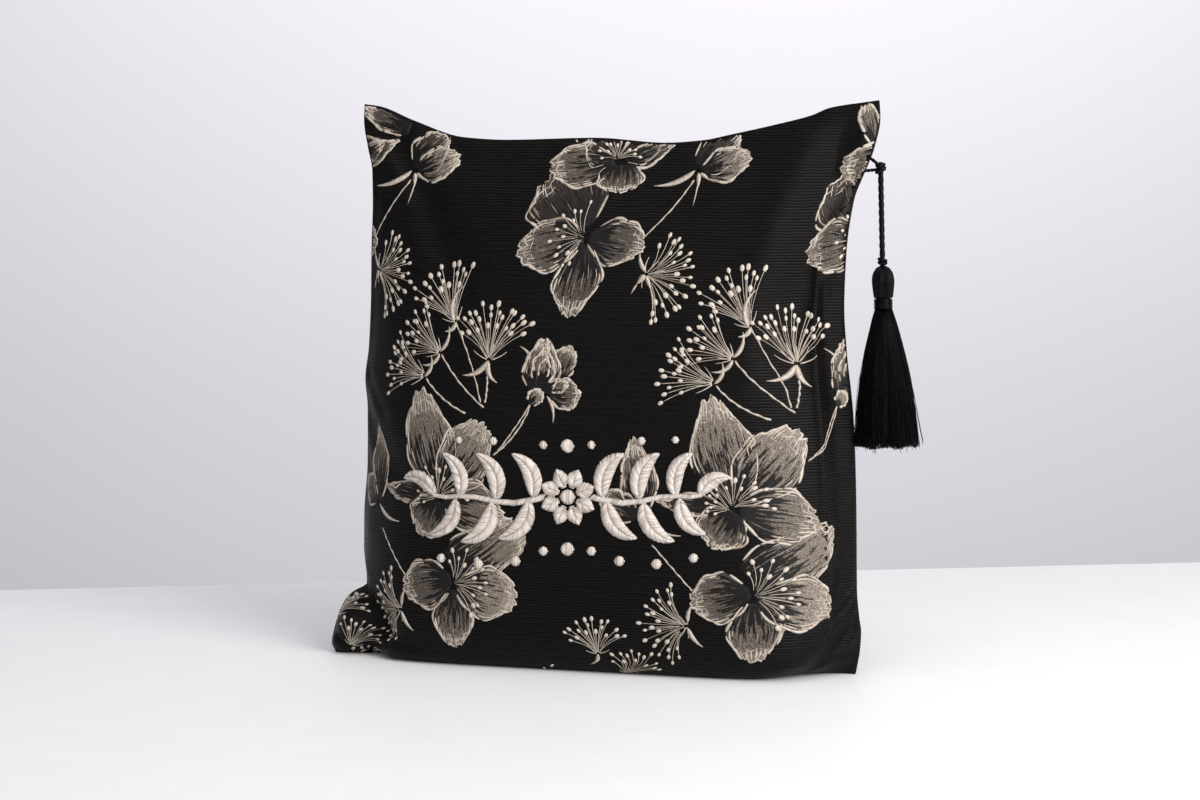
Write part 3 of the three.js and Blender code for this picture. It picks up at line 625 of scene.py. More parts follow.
def scaled(tree, value, times, plus):
    """A value times a number, plus a number."""
    return maths(tree, "ADD", product(tree, value, times), plus)


def ramp(tree, value, low, high):
    """A value carried smoothly from 0 at low to 1 at high."""
    values = {"Value": value, "From Min": low, "From Max": high}
    return add(tree, "ShaderNodeMapRange", values, interpolation_type="SMOOTHSTEP").outputs[0]


def blend(tree, share, one, two):
    """A colour between two, each a socket or a colour with or without its alpha."""
    one, two = (colour if isinstance(colour, bpy.types.NodeSocket) else tuple(colour)[:3] + (1,)
                for colour in (one, two))
    node = add(tree, "ShaderNodeMix", {MIX_SHARE: share, MIX_ONE: one, MIX_TWO: two}, data_type="RGBA")
    return node.outputs[MIX_RESULT]


def noise(tree, vector, scale, detail=2.0, roughness=0.5):
    """Noise between 0 and 1."""
    values = {"Vector": vector, "Scale": scale, "Detail": detail, "Roughness": roughness}
    return add(tree, "ShaderNodeTexNoise", values).outputs["Fac"]


def stretch(tree, vector, scale):
    """A vector scaled along each of its axes."""
    return add(tree, "ShaderNodeMapping", {"Vector": vector, "Scale": scale}).outputs[0]


def object_place(tree):
    """The place on the object, in metres."""
    return add(tree, "ShaderNodeTexCoord").outputs["Object"]


def cloth_place(tree):
    """The place on the flat cloth, in millimetres."""
    return add(tree, "ShaderNodeUVMap", uv_map="cloth").outputs[0]


def attribute(tree, name):
    """A named value of the mesh."""
    return add(tree, "ShaderNodeAttribute", attribute_name=name).outputs["Fac"]


def rib_group():
    """Crosswise ribs of the weave: a rounded ridge at every pitch, every other one stronger, broken into
    short runs by stretched noise, and crossed by fine warp threads."""
    name = "Ribbed Weave"
    tree = group(name, (("Vector", "NodeSocketVector", None), ("Pitch", "NodeSocketFloat", 1.28),
                        ("Warp", "NodeSocketFloat", 0.55)),
                 (("Rib", "NodeSocketFloat"), ("Run", "NodeSocketFloat"), ("Height", "NodeSocketFloat")))
    if tree:
        source = tree.nodes.new("NodeGroupInput")
        result = tree.nodes.new("NodeGroupOutput")
        vector = source.outputs["Vector"]
        parts = add(tree, "ShaderNodeSeparateXYZ", {0: vector})
        drift = product(tree, noise(tree, stretch(tree, vector, DRIFT_STRETCH), 1.0), RIB_DRIFT)
        up = maths(tree, "ADD", parts.outputs["Y"], drift)
        turns = maths(tree, "DIVIDE", up, source.outputs["Pitch"])
        rib = maths(tree, "ABSOLUTE", maths(tree, "SINE", product(tree, turns, math.pi)))
        strong = ramp(tree, maths(tree, "SINE", product(tree, turns, math.pi)), -0.3, 0.4)
        run = ramp(tree, noise(tree, stretch(tree, vector, RUN_STRETCH), 1.0, 3.0), 0.34, 0.64)
        threads = maths(tree, "DIVIDE", parts.outputs["X"], source.outputs["Warp"])
        warp = maths(tree, "SINE", product(tree, threads, 2 * math.pi))
        height = product(tree, rib, scaled(tree, strong, 0.14, 0.86))
        height = maths(tree, "ADD", height, product(tree, warp, 0.09))
        full = scaled(tree, strong, 0.2, 0.8)
        tree.links.new(product(tree, rib, full), result.inputs["Rib"])
        tree.links.new(run, result.inputs["Run"])
        tree.links.new(height, result.inputs["Height"])
    return bpy.data.node_groups[name]


def thread_group():
    """Fine threads that run along the first axis: stretched noise across them, for streaks and for height."""
    name = "Thread Streaks"
    tree = group(name, (("Vector", "NodeSocketVector", None), ("Along", "NodeSocketFloat", 0.3),
                        ("Across", "NodeSocketFloat", 6.0)),
                 (("Streak", "NodeSocketFloat"), ("Fine", "NodeSocketFloat")))
    if tree:
        source = tree.nodes.new("NodeGroupInput")
        result = tree.nodes.new("NodeGroupOutput")
        sides = {0: source.outputs["Along"], 1: source.outputs["Across"], 2: 1.0}
        scale = add(tree, "ShaderNodeCombineXYZ", sides)
        vector = add(tree, "ShaderNodeVectorMath", {0: source.outputs["Vector"], 1: scale.outputs[0]},
                     operation="MULTIPLY").outputs[0]
        tree.links.new(noise(tree, vector, 1.0, 3.0, 0.6), result.inputs["Streak"])
        tree.links.new(noise(tree, vector, 4.0, 2.0, 0.5), result.inputs["Fine"])
    return bpy.data.node_groups[name]


def new_material(name, **values):
    """An empty node material, its tree and its Principled shader with the given socket values."""
    material = bpy.data.materials.new(name)
    material.use_nodes = True
    tree = material.node_tree
    shader = tree.nodes["Principled BSDF"]
    for key, value in values.items():
        shader.inputs[key.replace("_", " ")].default_value = value
    return material, tree, shader


def bump(tree, shader, height, distance):
    """Height to the shader's normal, distance in metres."""
    node = add(tree, "ShaderNodeBump", {"Height": height, "Distance": distance, "Strength": 1.0})
    tree.links.new(node.outputs[0], shader.inputs["Normal"])


def use_group(tree, shared, values):
    """The outputs of a shared group placed in a material."""
    return add(tree, "ShaderNodeGroup", values, node_tree=shared).outputs


def cloth_material(settings):
    """Ribbed black ground: black between the ribs, a faint warm sheen painted on the stronger runs of rib."""
    material, tree, shader = new_material("brocade_ground", Specular_IOR_Level=0.09, Sheen_Weight=0.02,
                                          Sheen_Roughness=0.35, Sheen_Tint=(1, 0.9, 0.84, 1))
    uv = cloth_place(tree)
    weave = use_group(tree, rib_group(), {"Vector": uv, "Pitch": settings.rib_pitch / MM})
    lit = product(tree, weave["Rib"], scaled(tree, weave["Run"], 0.5, 0.4))
    # Painted sheen: where lit is high, on the crests of the ribs' stronger runs, the ground takes the paler
    # rib colour.
    colour = blend(tree, lit, settings.ground_dark, settings.rib_painted_sheen)
    tree.links.new(colour, shader.inputs["Base Color"])
    dull = maths(tree, "SUBTRACT", GROUND_ROUGH, product(tree, lit, RIB_GLOSS))
    tree.links.new(dull, shader.inputs["Roughness"])
    bump(tree, shader, weave["Height"], BUMPS["weave"])
    return material


def petal_material(settings):
    """Woven petals: taupe, with dark streaks that thin out from the foot to the rim, pale ones that gather
    towards the rim, and a fine mottle of single threads."""
    material, tree, shader = new_material("brocade_petal", Specular_IOR_Level=0.22, Roughness=0.45)
    uv = cloth_place(tree)
    tone = attribute(tree, "tone")
    reach = attribute(tree, "reach")
    thread = use_group(tree, thread_group(), {"Vector": uv, "Along": 0.1, "Across": 0.85})
    # Each petal's tone blends dark to pale petals and strengthens its pale streaks: partly the petal's woven
    # colour, partly painted light, higher on the right where the key light falls.
    base = blend(tree, maths(tree, "POWER", tone, 1.5), settings.petal_dark_and_shaded, settings.petal_pale_and_lit)
    mottle = ramp(tree, noise(tree, stretch(tree, uv, MOTTLE_STRETCH), 1.0, 2.0), 0.4, 0.62)
    body = blend(tree, product(tree, mottle, MOTTLE_SHARE), base, settings.petal_shadow)
    early = product(tree, maths(tree, "SUBTRACT", reach, 0.5), STREAKS_FADE)
    dark = ramp(tree, maths(tree, "ADD", thread["Streak"], early), 0.53, 0.47)
    shaded = blend(tree, dark, body, settings.petal_shadow)
    late = product(tree, maths(tree, "SUBTRACT", reach, PALE_FROM), PALE_GROWTH)
    pale = ramp(tree, maths(tree, "ADD", thread["Fine"], late), 0.54, 0.62)
    strength = scaled(tree, tone, 0.55, 0.15)
    colour = blend(tree, product(tree, pale, strength), shaded, settings.line_colour)
    tree.links.new(colour, shader.inputs["Base Color"])
    bump(tree, shader, thread["Fine"], BUMPS["petal"])
    return material


def line_material(settings):
    """Champagne thread of outlines, stamens and stems: bronze to silvery, with a twist along the thread."""
    material, tree, shader = new_material("brocade_line", Specular_IOR_Level=0.7, Roughness=0.38)
    where = object_place(tree)
    tone = attribute(tree, "tone")
    speckle = product(tree, noise(tree, where, SPECKLE, 2.0), 0.6)
    # On petals the tone includes a share of the petal's tone, which is partly painted light.
    patch = maths(tree, "ADD", speckle, product(tree, tone, 0.5))
    colour = blend(tree, ramp(tree, patch, 0.3, 0.75), settings.line_shade, settings.line_colour)
    tree.links.new(colour, shader.inputs["Base Color"])
    bump(tree, shader, noise(tree, where, LINE_TWIST, 1.0), BUMPS["line"])
    return material


def satin_material(settings):
    """Ivory embroidery thread: bright, some threads and spots a little darker at random."""
    material, tree, shader = new_material("satin_thread", Specular_IOR_Level=0.6, Sheen_Weight=0.35,
                                          Sheen_Roughness=0.25, Sheen_Tint=(1, 0.98, 0.95, 1), Roughness=0.38)
    where = object_place(tree)
    tone = attribute(tree, "tone")
    thread = product(tree, tone, 0.7)
    mottle = maths(tree, "ADD", thread, product(tree, noise(tree, where, SATIN_SPECKLE, 2.0), 0.5))
    colour = blend(tree, ramp(tree, mottle, 0.2, 0.85), settings.thread_shade, settings.thread)
    tree.links.new(colour, shader.inputs["Base Color"])
    bump(tree, shader, noise(tree, where, SATIN_TWIST, 1.0), BUMPS["satin"])
    return material


def silk_material(settings):
    """Black silk thread, made once: deep colour with long streaks of gloss and painted sheen along the
    strands.
    """
    if "black_silk" in bpy.data.materials:
        return bpy.data.materials["black_silk"]
    material, tree, shader = new_material("black_silk", Specular_IOR_Level=0.12)
    where = object_place(tree)
    streak = noise(tree, stretch(tree, where, SILK_STRETCH), 1.0, 2.0)
    # Painted sheen: the streaks take a paler colour as well as a lower roughness.
    colour = blend(tree, ramp(tree, streak, 0.4, 0.8), SILK_DARK, settings.silk_light)
    tree.links.new(colour, shader.inputs["Base Color"])
    gloss = product(tree, ramp(tree, streak, 0.45, 0.62), SILK_GLOSS)
    dull = maths(tree, "SUBTRACT", SILK_ROUGH, gloss)
    tree.links.new(dull, shader.inputs["Roughness"])
    bump(tree, shader, streak, BUMPS["silk"])
    return material


def metal_material(settings):
    """Gunmetal of the slider and pull: dark, brushed, brighter in rubbed patches spread by noise."""
    material, tree, shader = new_material("gunmetal", Metallic=1.0)
    where = object_place(tree)
    brushed = noise(tree, stretch(tree, where, METAL_STRETCH), 1.0, 3.0)
    wear = ramp(tree, noise(tree, where, 450.0, 4.0, 0.65), 0.55, 0.75)
    colour = blend(tree, wear, settings.metal, METAL_WORN)
    tree.links.new(colour, shader.inputs["Base Color"])
    tree.links.new(scaled(tree, brushed, 0.3, 0.18), shader.inputs["Roughness"])
    bump(tree, shader, brushed, BUMPS["metal"])
    return material


def tape_material():
    """Woven zip tape: close ribs of fine dull threads, crossed by fine warp threads."""
    material, tree, shader = new_material("zip_tape", Specular_IOR_Level=0.3, Roughness=0.8, Sheen_Weight=0.1)
    uv = cloth_place(tree)
    weave = use_group(tree, rib_group(), {"Vector": uv, "Pitch": 0.5, "Warp": 0.4})
    tree.links.new(blend(tree, weave["Rib"], TAPE_DARK, TAPE_LIGHT), shader.inputs["Base Color"])
    bump(tree, shader, weave["Height"], BUMPS["tape"])
    return material


def coil_material():
    """Nylon of the zip's teeth: black, glossy, faintly scuffed."""
    material, tree, shader = new_material("zip_nylon", Specular_IOR_Level=0.5)
    where = object_place(tree)
    scuff = noise(tree, where, SCUFF, 3.0)
    tree.links.new(blend(tree, scuff, NYLON_DARK, NYLON_LIGHT), shader.inputs["Base Color"])
    tree.links.new(scaled(tree, scuff, 0.3, 0.2), shader.inputs["Roughness"])
    bump(tree, shader, scuff, BUMPS["nylon"])
    return material


# Woven flowers. Every place is a pixel of the photograph, and the repeat carries them on across the cloth.

REPEAT_ACROSS = 132.0
REPEAT_UP = 300.0
BACK_SHIFT = (58.0, 22.0)
PIXEL = 0.44
LINE_WIDTH = 0.5

# Petals: the power that closes them, and the shares of their size that their sides wave, their rim falls at
# the sides, its lobes rise and it is ragged
PETAL_CLOSE = 2.8
EDGE_WAVE = 0.06
RIM_ARC = 0.17
LOBE_HIGH = 0.075
RAGGED_HIGH = 0.014
PETAL_FOOT = 0.03
PETAL_ROWS = 17
PETAL_COLUMNS = 13
SEED_STEP = 1.7

# Heights over the cloth: a petal's edge, one layer, its bulge and its hidden underside; threads on it; domes
PETAL_LIFT = 0.07
LAYER_LIFT = 0.05
PETAL_BULGE = 0.12
PETAL_SINK = -0.05
THREAD_LIFT = 0.12
THREAD_HIGH = 0.16
DOME_HIGH = 0.34
LEAF_FILL = 0.72
LEAF_HIGH, LEAF_LIFT = 0.12, 0.2
STEM_HIGH, STEM_LIFT = 0.18, 0.03
UMBEL_LIFT = 0.06
STAMEN_LIFT = 0.34

# Threads on petals. Rim rows: how far in they lie, dashes, share of the rim that one spans, and width. Vein
# rows: threads, the shares of the petal where they start, the share that they run, and width.
RIM_ROWS = ((1.0, 10, 0.096, 1.28), (0.89, 9, 0.08, 0.85), (0.78, 6, 0.06, 0.5))
RIM_RANGE = {True: (0.03, 0.97), False: (0.2, 0.84)}
VEIN_ROWS = ((12, 0.76, 0.86, 0.24, 0.76), (6, 0.3, 0.66, 0.26, 0.24))
RAY_TIERS = (1.0, 0.78, 0.92, 0.62)
CUP_RAYS = 6
# The tone column: how pale a petal is, partly its woven colour and partly painted light, higher on the right
# where the key light falls.
PETALS = columns("foot_x foot_y tip_x tip_y broad base shoulder blunt bend lobes layer tone", (
    (876, 146, 867, 98, 20, 0.12, 0.7, 0.6, 0.05, 4, 1, 0.7),
    (412, 130, 366, 108, 26, 0.35, 0.5, 0.5, 0.04, 3, 5, 0.35),
    (733, 508, 714, 399, 60, 0.1, 0.52, 0.5, 0.03, 3, 0, 0.8),
    (735, 505, 801, 434, 56, 0.12, 0.64, 0.62, 0.05, 3, 1, 0.8),
    (736, 510, 817, 514, 54, 0.14, 0.62, 0.6, -0.12, 3, 2, 0.7),
    (733, 510, 711, 546, 50, 0.3, 0.6, 0.6, 0.0, 2, 1, 0.5),
    (722, 511, 662, 488, 22, 0.3, 0.5, 0.3, 0.2, 1, 0, 0.1),
    (748, 585, 832, 531, 54, 0.8, 0.4, 0.66, 0.0, 2, 0, 0.85),
    (752, 592, 692, 603, 50, 0.12, 0.6, 0.62, 0.0, 3, 2, 0.5),
    (755, 596, 829, 613, 54, 0.12, 0.62, 0.68, 0.08, 4, 3, 1.0),
    (753, 601, 766, 660, 45, 0.12, 0.56, 0.55, -0.16, 3, 1, 0.6),
    (585, 231, 557, 172, 88, 0.14, 0.72, 0.72, 0.0, 3, 0, 0.05),
    (586, 237, 519, 249, 52, 0.1, 0.62, 0.62, 0.05, 3, 2, 0.5),
    (586, 242, 576, 316, 47, 0.12, 0.62, 0.5, -0.1, 3, 1, 0.4),
    (587, 236, 641, 250, 46, 0.12, 0.6, 0.62, 0.05, 2, 1, 0.4),
    (617, 161, 552, 172, 44, 0.12, 0.6, 0.62, -0.05, 3, 3, 0.5),
    (621, 164, 619, 192, 46, 0.5, 0.6, 0.72, 0.0, 2, 2, 0.4),
    (617, 157, 590, 136, 42, 0.3, 0.6, 0.6, 0.0, 3, 2, 0.1),
    (622, 156, 664, 139, 28, 0.3, 0.5, 0.5, 0.0, 2, 0, 0.1),
    (628, 162, 682, 146, 22, 0.4, 0.4, 0.18, 0.12, 1, 1, 0.3),
    (697, 170, 740, 133, 40, 0.2, 0.5, 0.36, 0.0, 2, 0, 0.2),
    (700, 172, 750, 160, 33, 0.15, 0.6, 0.62, 0.05, 3, 1, 0.75),
    (553, 382, 569, 347, 26, 0.3, 0.6, 0.62, -0.05, 2, 0, 0.5),
    (548, 394, 579, 395, 30, 0.15, 0.65, 0.7, 0.0, 2, 1, 0.45),
    (549, 388, 567, 384, 14, 0.4, 0.6, 0.7, 0.0, 1, 2, 0.5),
    (539, 395, 545, 340, 37, 0.5, 0.5, 0.5, 0.0, 3, 3, 0.55),
    (541, 386, 546, 349, 23, 0.45, 0.5, 0.5, 0.0, 1, 4, 0.6),
    (542, 379, 547, 358, 11, 0.5, 0.5, 0.5, 0.0, 1, 5, 0.7),
    (529, 404, 541, 391, 15, 0.4, 0.7, 0.8, 0.0, 1, 4, 0.8),
    (641, 519, 634, 440, 36, 0.2, 0.55, 0.42, 0.0, 3, 0, 0.6),
    (638, 518, 599, 495, 31, 0.15, 0.6, 0.5, 0.0, 2, 1, 0.45)))
LEAVES = columns("foot_x foot_y tip_x tip_y broad bend", (
    (796, 365, 766, 381, 8, 0.16), (797, 365, 812, 387, 8, -0.2), (733, 358, 743, 332, 6, -0.15),
    (733, 360, 711, 372, 6, 0.2), (749, 328, 756, 290, 7, 0.2), (751, 327, 738, 337, 7, 0.2),
    (714, 384, 722, 362, 6, -0.2), (528, 377, 520, 346, 7, -0.25), (533, 394, 529, 403, 7, 0.4),
    (547, 396, 553, 423, 5, 0.1), (642, 520, 681, 536, 6, -0.1), (695, 171, 654, 186, 8, 0.1),
    (699, 173, 698, 188, 7, 0.0), (701, 173, 709, 180, 6, 0.0), (698, 184, 693, 206, 2.4, 0.0),
    (646, 272, 640, 252, 6, 0.1), (645, 275, 637, 284, 9, 0.0), (637, 284, 631, 294, 3, 0.0),
    (646, 276, 651, 290, 6, 0.0), (688, 628, 703, 647, 7, -0.1), (688, 622, 693, 604, 6, 0.1),
    (598, 654, 590, 664, 6, 0.1), (562, 664, 572, 668, 6, 0.1)))
STEMS = columns("from_x from_y to_x to_y sway thick", (
    (750, 327, 791, 408, 0.04, 0.8), (735, 361, 795, 413, -0.04, 0.9), (716, 386, 771, 420, -0.06, 0.95),
    (796, 368, 797, 408, 0.03, 1.0), (838, 402, 808, 461, 0.1, 0.9), (530, 404, 497, 452, 0.03, 0.8),
    (694, 180, 641, 240, 0.02, 0.85), (652, 545, 693, 592, 0.0, 0.8)))
UMBELS = columns("x y toward spread reach rays dot", (
    (750, 327, 119, 43, 57, 20, 5.2), (733, 359, 149, 40, 51, 17, 4.8), (714, 383, 166, 38, 53, 17, 4.8),
    (797, 364, 88, 55, 52, 26, 5.0), (646, 275, -6, 82, 46, 28, 4.8), (686, 626, 180, 82, 43, 26, 4.4),
    (598, 653, 95, 64, 36, 18, 4.2), (562, 664, 152, 55, 36, 15, 4.0), (642, 668, 62, 52, 28, 13, 4.0),
    (352, 645, 78, 62, 33, 14, 3.8), (377, 655, 80, 66, 24, 12, 3.6)))
STAMENS = columns("x y toward spread reach rays dot", (
    (732, 508, 64, 74, 31, 15, 4.2), (731, 510, 160, 40, 24, 8, 3.2), (753, 597, 22, 86, 35, 16, 4.4),
    (585, 238, 172, 80, 33, 14, 4.2), (618, 160, 88, 88, 21, 14, 3.4)))


class FlowerLayout:
    """Places of the woven flowers on one face: what the tables give in pixels is carried to flat coordinates
    through the picture face, and copied in every repeat that can reach the cloth."""

    def __init__(self, front, cloth):
        self.front = front
        self.cloth = cloth
        repeats = [(i * REPEAT_ACROSS, j * REPEAT_UP) for i in range(-2, 3) for j in (-1, 0, 1)]
        self.shifts = np.array(repeats) + cloth.shift

    def place(self, x, y):
        """Flat coordinates of pixels."""
        return self.front.from_photo(np.stack((x, y), -1))

    def copies(self, flat):
        """Copies of flat coordinates (count, ..., 2), one set for each repeat."""
        shifts = self.shifts.reshape(-1, *([1] * (flat.ndim - 1)), 2)
        return (flat[None] + shifts).reshape(-1, *flat.shape[1:])

    def table(self, table, ends=("foot", "tip")):
        """A table's rows in every repeat, with its ends in flat coordinates, without rows that miss the
        cloth."""
        rows = {key: np.tile(column, len(self.shifts)) for key, column in table.items()}
        for name in ends:
            rows[name] = self.copies(self.place(table[name + "_x"], table[name + "_y"]))
        one, two = (rows[name] for name in ends)
        near = self.cloth.inside(one) | self.cloth.inside(two) | self.cloth.inside((one + two) / 2)
        return {key: column[near] for key, column in rows.items()}


def petal_map(petals, s, t):
    """Petals in flat coordinates: t runs from foot to rim and s from side to side. The half breadth grows as
    a sine up to the shoulder and closes as a power to the blunt rim; the rim is an arc with lobes and a
    ragged edge; the middle line bends as t squared."""
    ones = [1] * (np.broadcast(s, t).ndim - 1)

    def each(key):
        """A column shaped to go with s and t."""
        return petals[key].reshape(-1, *ones)

    axis = petals["tip"] - petals["foot"]
    length = np.linalg.norm(axis, axis=-1)
    ahead = (axis / length[:, None]).reshape(-1, *ones, 2)
    aside = quarter_turn(ahead)
    foot = petals["foot"].reshape(ahead.shape)
    length = length.reshape(-1, *ones)
    shoulder, base, seed = each("shoulder"), each("base"), each("seed")
    grow = base + (1 - base) * np.sin(np.clip(t / shoulder, 0, 1) * np.pi / 2)
    close = 1 - (1 - each("blunt")) * (np.clip(t - shoulder, 0, 1) / (1 - shoulder)) ** PETAL_CLOSE
    edge = 1 + EDGE_WAVE * np.sin(t * 11 + seed + np.sign(s)) * np.abs(s) ** 3
    half = each("broad") * PIXEL / 2 * grow * close * edge
    lobes = np.abs(np.cos(each("lobes") * np.pi / 2 * (s + 0.12 * np.sin(seed)))) ** 0.8 - 0.6
    ragged = np.sin(s * 21 + 3 * seed) + 0.7 * np.sin(s * 37 + 5 * seed)
    up = t * (1 - RIM_ARC * np.abs(s) ** 2.6) + (LOBE_HIGH * lobes + RAGGED_HIGH * ragged) * t**4
    out = s * half + each("bend") * length * t**2
    return foot + ahead * (length * up)[..., None] + aside * out[..., None]


def petal_patches(cloth, petals):
    """Closed thin patches of petals laid on the cloth, each in its own layer."""
    count = len(petals["foot"])
    t = np.linspace(PETAL_FOOT, 1, PETAL_ROWS)[None, :, None]
    s = np.linspace(-1, 1, PETAL_COLUMNS)[None, None, :]
    flat = petal_map(petals, s, t)
    on = cloth.inside(flat).ravel()
    layer = petals["layer"][:, None, None]
    lift = PETAL_LIFT + LAYER_LIFT * layer + PETAL_BULGE * (1 - np.abs(s) ** 4) * np.ones_like(t)
    top = cloth.surface(flat, lift)
    under = cloth.surface(flat, np.full(flat.shape[:3], PETAL_SINK))
    index = np.arange(count * PETAL_ROWS * PETAL_COLUMNS).reshape(count, PETAL_ROWS, PETAL_COLUMNS)
    corners = index[:, :-1, :-1], index[:, :-1, 1:], index[:, 1:, 1:], index[:, 1:, :-1]
    quads = np.stack(corners, -1).reshape(-1, 4)
    faces = close_sheet(quads[on[quads].all(1)], index.size)
    length = np.linalg.norm(petals["tip"] - petals["foot"], axis=-1)[:, None, None]
    along = t * length + 100 * np.arange(count)[:, None, None]
    across = s * petals["broad"][:, None, None] * PIXEL / 2
    uv = np.stack(np.broadcast_arrays(along, across), -1).reshape(-1, 2)
    tone = np.broadcast_to(petals["tone"][:, None, None], index.shape).ravel()
    reach = np.broadcast_to(t, index.shape).ravel()
    used, where = np.unique(faces, return_inverse=True)
    points = np.concatenate((top.reshape(-1, 3), under.reshape(-1, 3)))
    values = [np.concatenate((value, value))[used] for value in (uv, tone, reach)]
    return points[used], where.reshape(faces.shape), *values


def petal_dashes(petals, rng):
    """Paths of the threads on petals, with their widths: dashes along the rim in three lines, the outermost
    nearly whole; hatching that runs into the rim; and thin veins further in."""
    count = len(petals["foot"])
    jobs = []
    for inset, dashes, span, width in RIM_ROWS:
        low, high = RIM_RANGE[inset == 1]
        steps = 8 if inset == 1 else 6
        order = np.arange(dashes) + rng.uniform(-0.18, 0.18, (count, dashes))
        start = low + (high - low - span) * order / (dashes - 1)
        length = span * rng.uniform(0.72, 1.15, (count, dashes))
        q = np.clip(start[..., None] + length[..., None] * np.linspace(0, 1, steps), 0.01, 0.99)
        s = np.clip((q - 0.5) * 7, -1, 1) * inset
        t = np.clip(0.05 + np.minimum(q, 1 - q) / 0.36, 0, 1) * (1 - 0.85 * (1 - inset))
        taper = 0.45 + 0.55 * np.sin(np.pi * np.linspace(0.06, 0.94, steps))
        thick = width * taper * rng.uniform(0.7, 1.2, (count, dashes, 1))
        jobs.append((petal_map(petals, s, t), thick))
    for threads, t_low, t_high, run, width in VEIN_ROWS:
        steps = 6
        s = (np.arange(threads) + 0.5) / threads * 1.86 - 0.93
        s = np.clip(s + rng.uniform(-0.07, 0.07, (count, threads)), -0.95, 0.95)[..., None]
        t0 = rng.uniform(t_low, t_high, (count, threads))
        t1 = np.minimum(t0 + run * rng.uniform(0.5, 1.0, t0.shape), 0.985)
        t = t0[..., None] + (t1 - t0)[..., None] * np.linspace(0, 1, steps)
        taper = np.sin(np.pi * np.linspace(0.1, 0.85, steps))
        thick = width * taper * rng.uniform(0.7, 1.25, t0.shape)[..., None]
        jobs.append((petal_map(petals, s + 0 * t, t), thick))
    return jobs


def direction(angle):
    """Unit flat vectors at angles."""
    return np.stack((np.cos(angle), np.sin(angle)), -1)


def fans(table, centre, rng, cup, steps=8):
    """Rays of umbels or stamens: each starts near the middle direction and bends outwards, in four lengths,
    with a dot at its end; a cup adds short thick rays at the foot."""
    paths, widths, dots, sizes = [], [], [], []
    for k in range(len(centre)):
        rays = int(table["rays"][k])
        offset = table["spread"][k] * np.linspace(-1, 1, rays) + rng.uniform(-3, 3, rays)
        tier = np.array(RAY_TIERS)[np.arange(rays) % len(RAY_TIERS)]
        reach = table["reach"][k] * PIXEL * tier * rng.uniform(0.93, 1.05, rays)
        bend = np.linspace(0.74, 1.12, steps)
        angle = np.radians(table["toward"][k] + offset[:, None] * bend)
        gap = rng.uniform(0.06, 0.36, (rays, 1))
        share = np.concatenate((gap, np.repeat((1 - gap) / (steps - 1), steps - 1, axis=1)), axis=1)
        run = direction(angle) * (reach[:, None] * share)[..., None]
        path = centre[k] + np.cumsum(run, axis=1)
        paths.append(path)
        widths.append(np.broadcast_to(np.linspace(0.24, 0.34, steps), (rays, steps)))
        size = table["dot"][k] * PIXEL * rng.uniform(0.72, 1.02, rays)
        heading = angle[:, -1]
        dots.append(path[:, -1] + direction(heading) * size[:, None] * 0.5)
        sizes.append(np.stack((size, heading), -1))
        if cup:
            offset = table["spread"][k] * np.linspace(-1.1, 1.1, CUP_RAYS)
            angle = np.radians(table["toward"][k] + offset[:, None] * np.linspace(1.3, 0.8, steps))
            reach = table["reach"][k] * PIXEL * rng.uniform(0.24, 0.36, CUP_RAYS)
            run = direction(angle) * (reach / (steps - 1))[:, None, None]
            paths.append(centre[k] + np.cumsum(run, axis=1))
            widths.append(np.broadcast_to(np.linspace(0.7, 0.3, steps), (CUP_RAYS, steps)))
    return tuple(np.concatenate(lists) for lists in (paths, widths, dots, sizes))


def dome_dots(cloth, centre, size, heading, high, lift, sides=8, longer=1.5):
    """Low closed domes on the cloth: a rim, a raised ring and a top, and a foot that closes them below."""
    keep = cloth.inside(centre)
    centre, size, heading = centre[keep], size[keep], heading[keep]
    turn = np.arange(sides) * 2 * np.pi / sides
    ahead = direction(heading)[:, None]
    aside = quarter_turn(ahead)
    ring = ahead * (np.cos(turn) * longer)[:, None] + aside * np.sin(turn)[:, None]
    rim = centre[:, None] + ring * (size / 2)[:, None, None]
    middle = centre[:, None] + ring * (size * 0.36)[:, None, None]
    flat = np.concatenate((rim, middle, centre[:, None], centre[:, None]), 1)
    lifts = np.concatenate((np.zeros(sides), np.full(sides, 0.8), (1.0, 0.0))) * high + lift
    points = cloth.surface(flat, np.broadcast_to(lifts, flat.shape[:2]))
    k = np.arange(sides)
    n = (k + 1) % sides
    quads = np.stack((k, n, n + sides, k + sides), -1)
    caps = np.concatenate((np.stack((k + sides, n + sides, np.full(sides, 2 * sides)), -1),
                           np.stack((n, k, np.full(sides, 2 * sides + 1)), -1)))
    base = (np.arange(len(centre)) * (2 * sides + 2))[:, None, None]
    return {"points": points.reshape(-1, 3), "quads": (base + quads).reshape(-1, 4),
            "triangles": (base + caps).reshape(-1, 3), "tone": 1.0}


def curved_paths(rows, one, two, sway, steps):
    """Paths from one end to the other, bowed by a share of their length."""
    t = np.linspace(0, 1, steps)
    run = (rows[two] - rows[one])[:, None]
    bow = rows[sway][:, None] * 4 * t * (1 - t)
    return rows[one][:, None] + run * t[:, None] + quarter_turn(run) * bow[..., None]


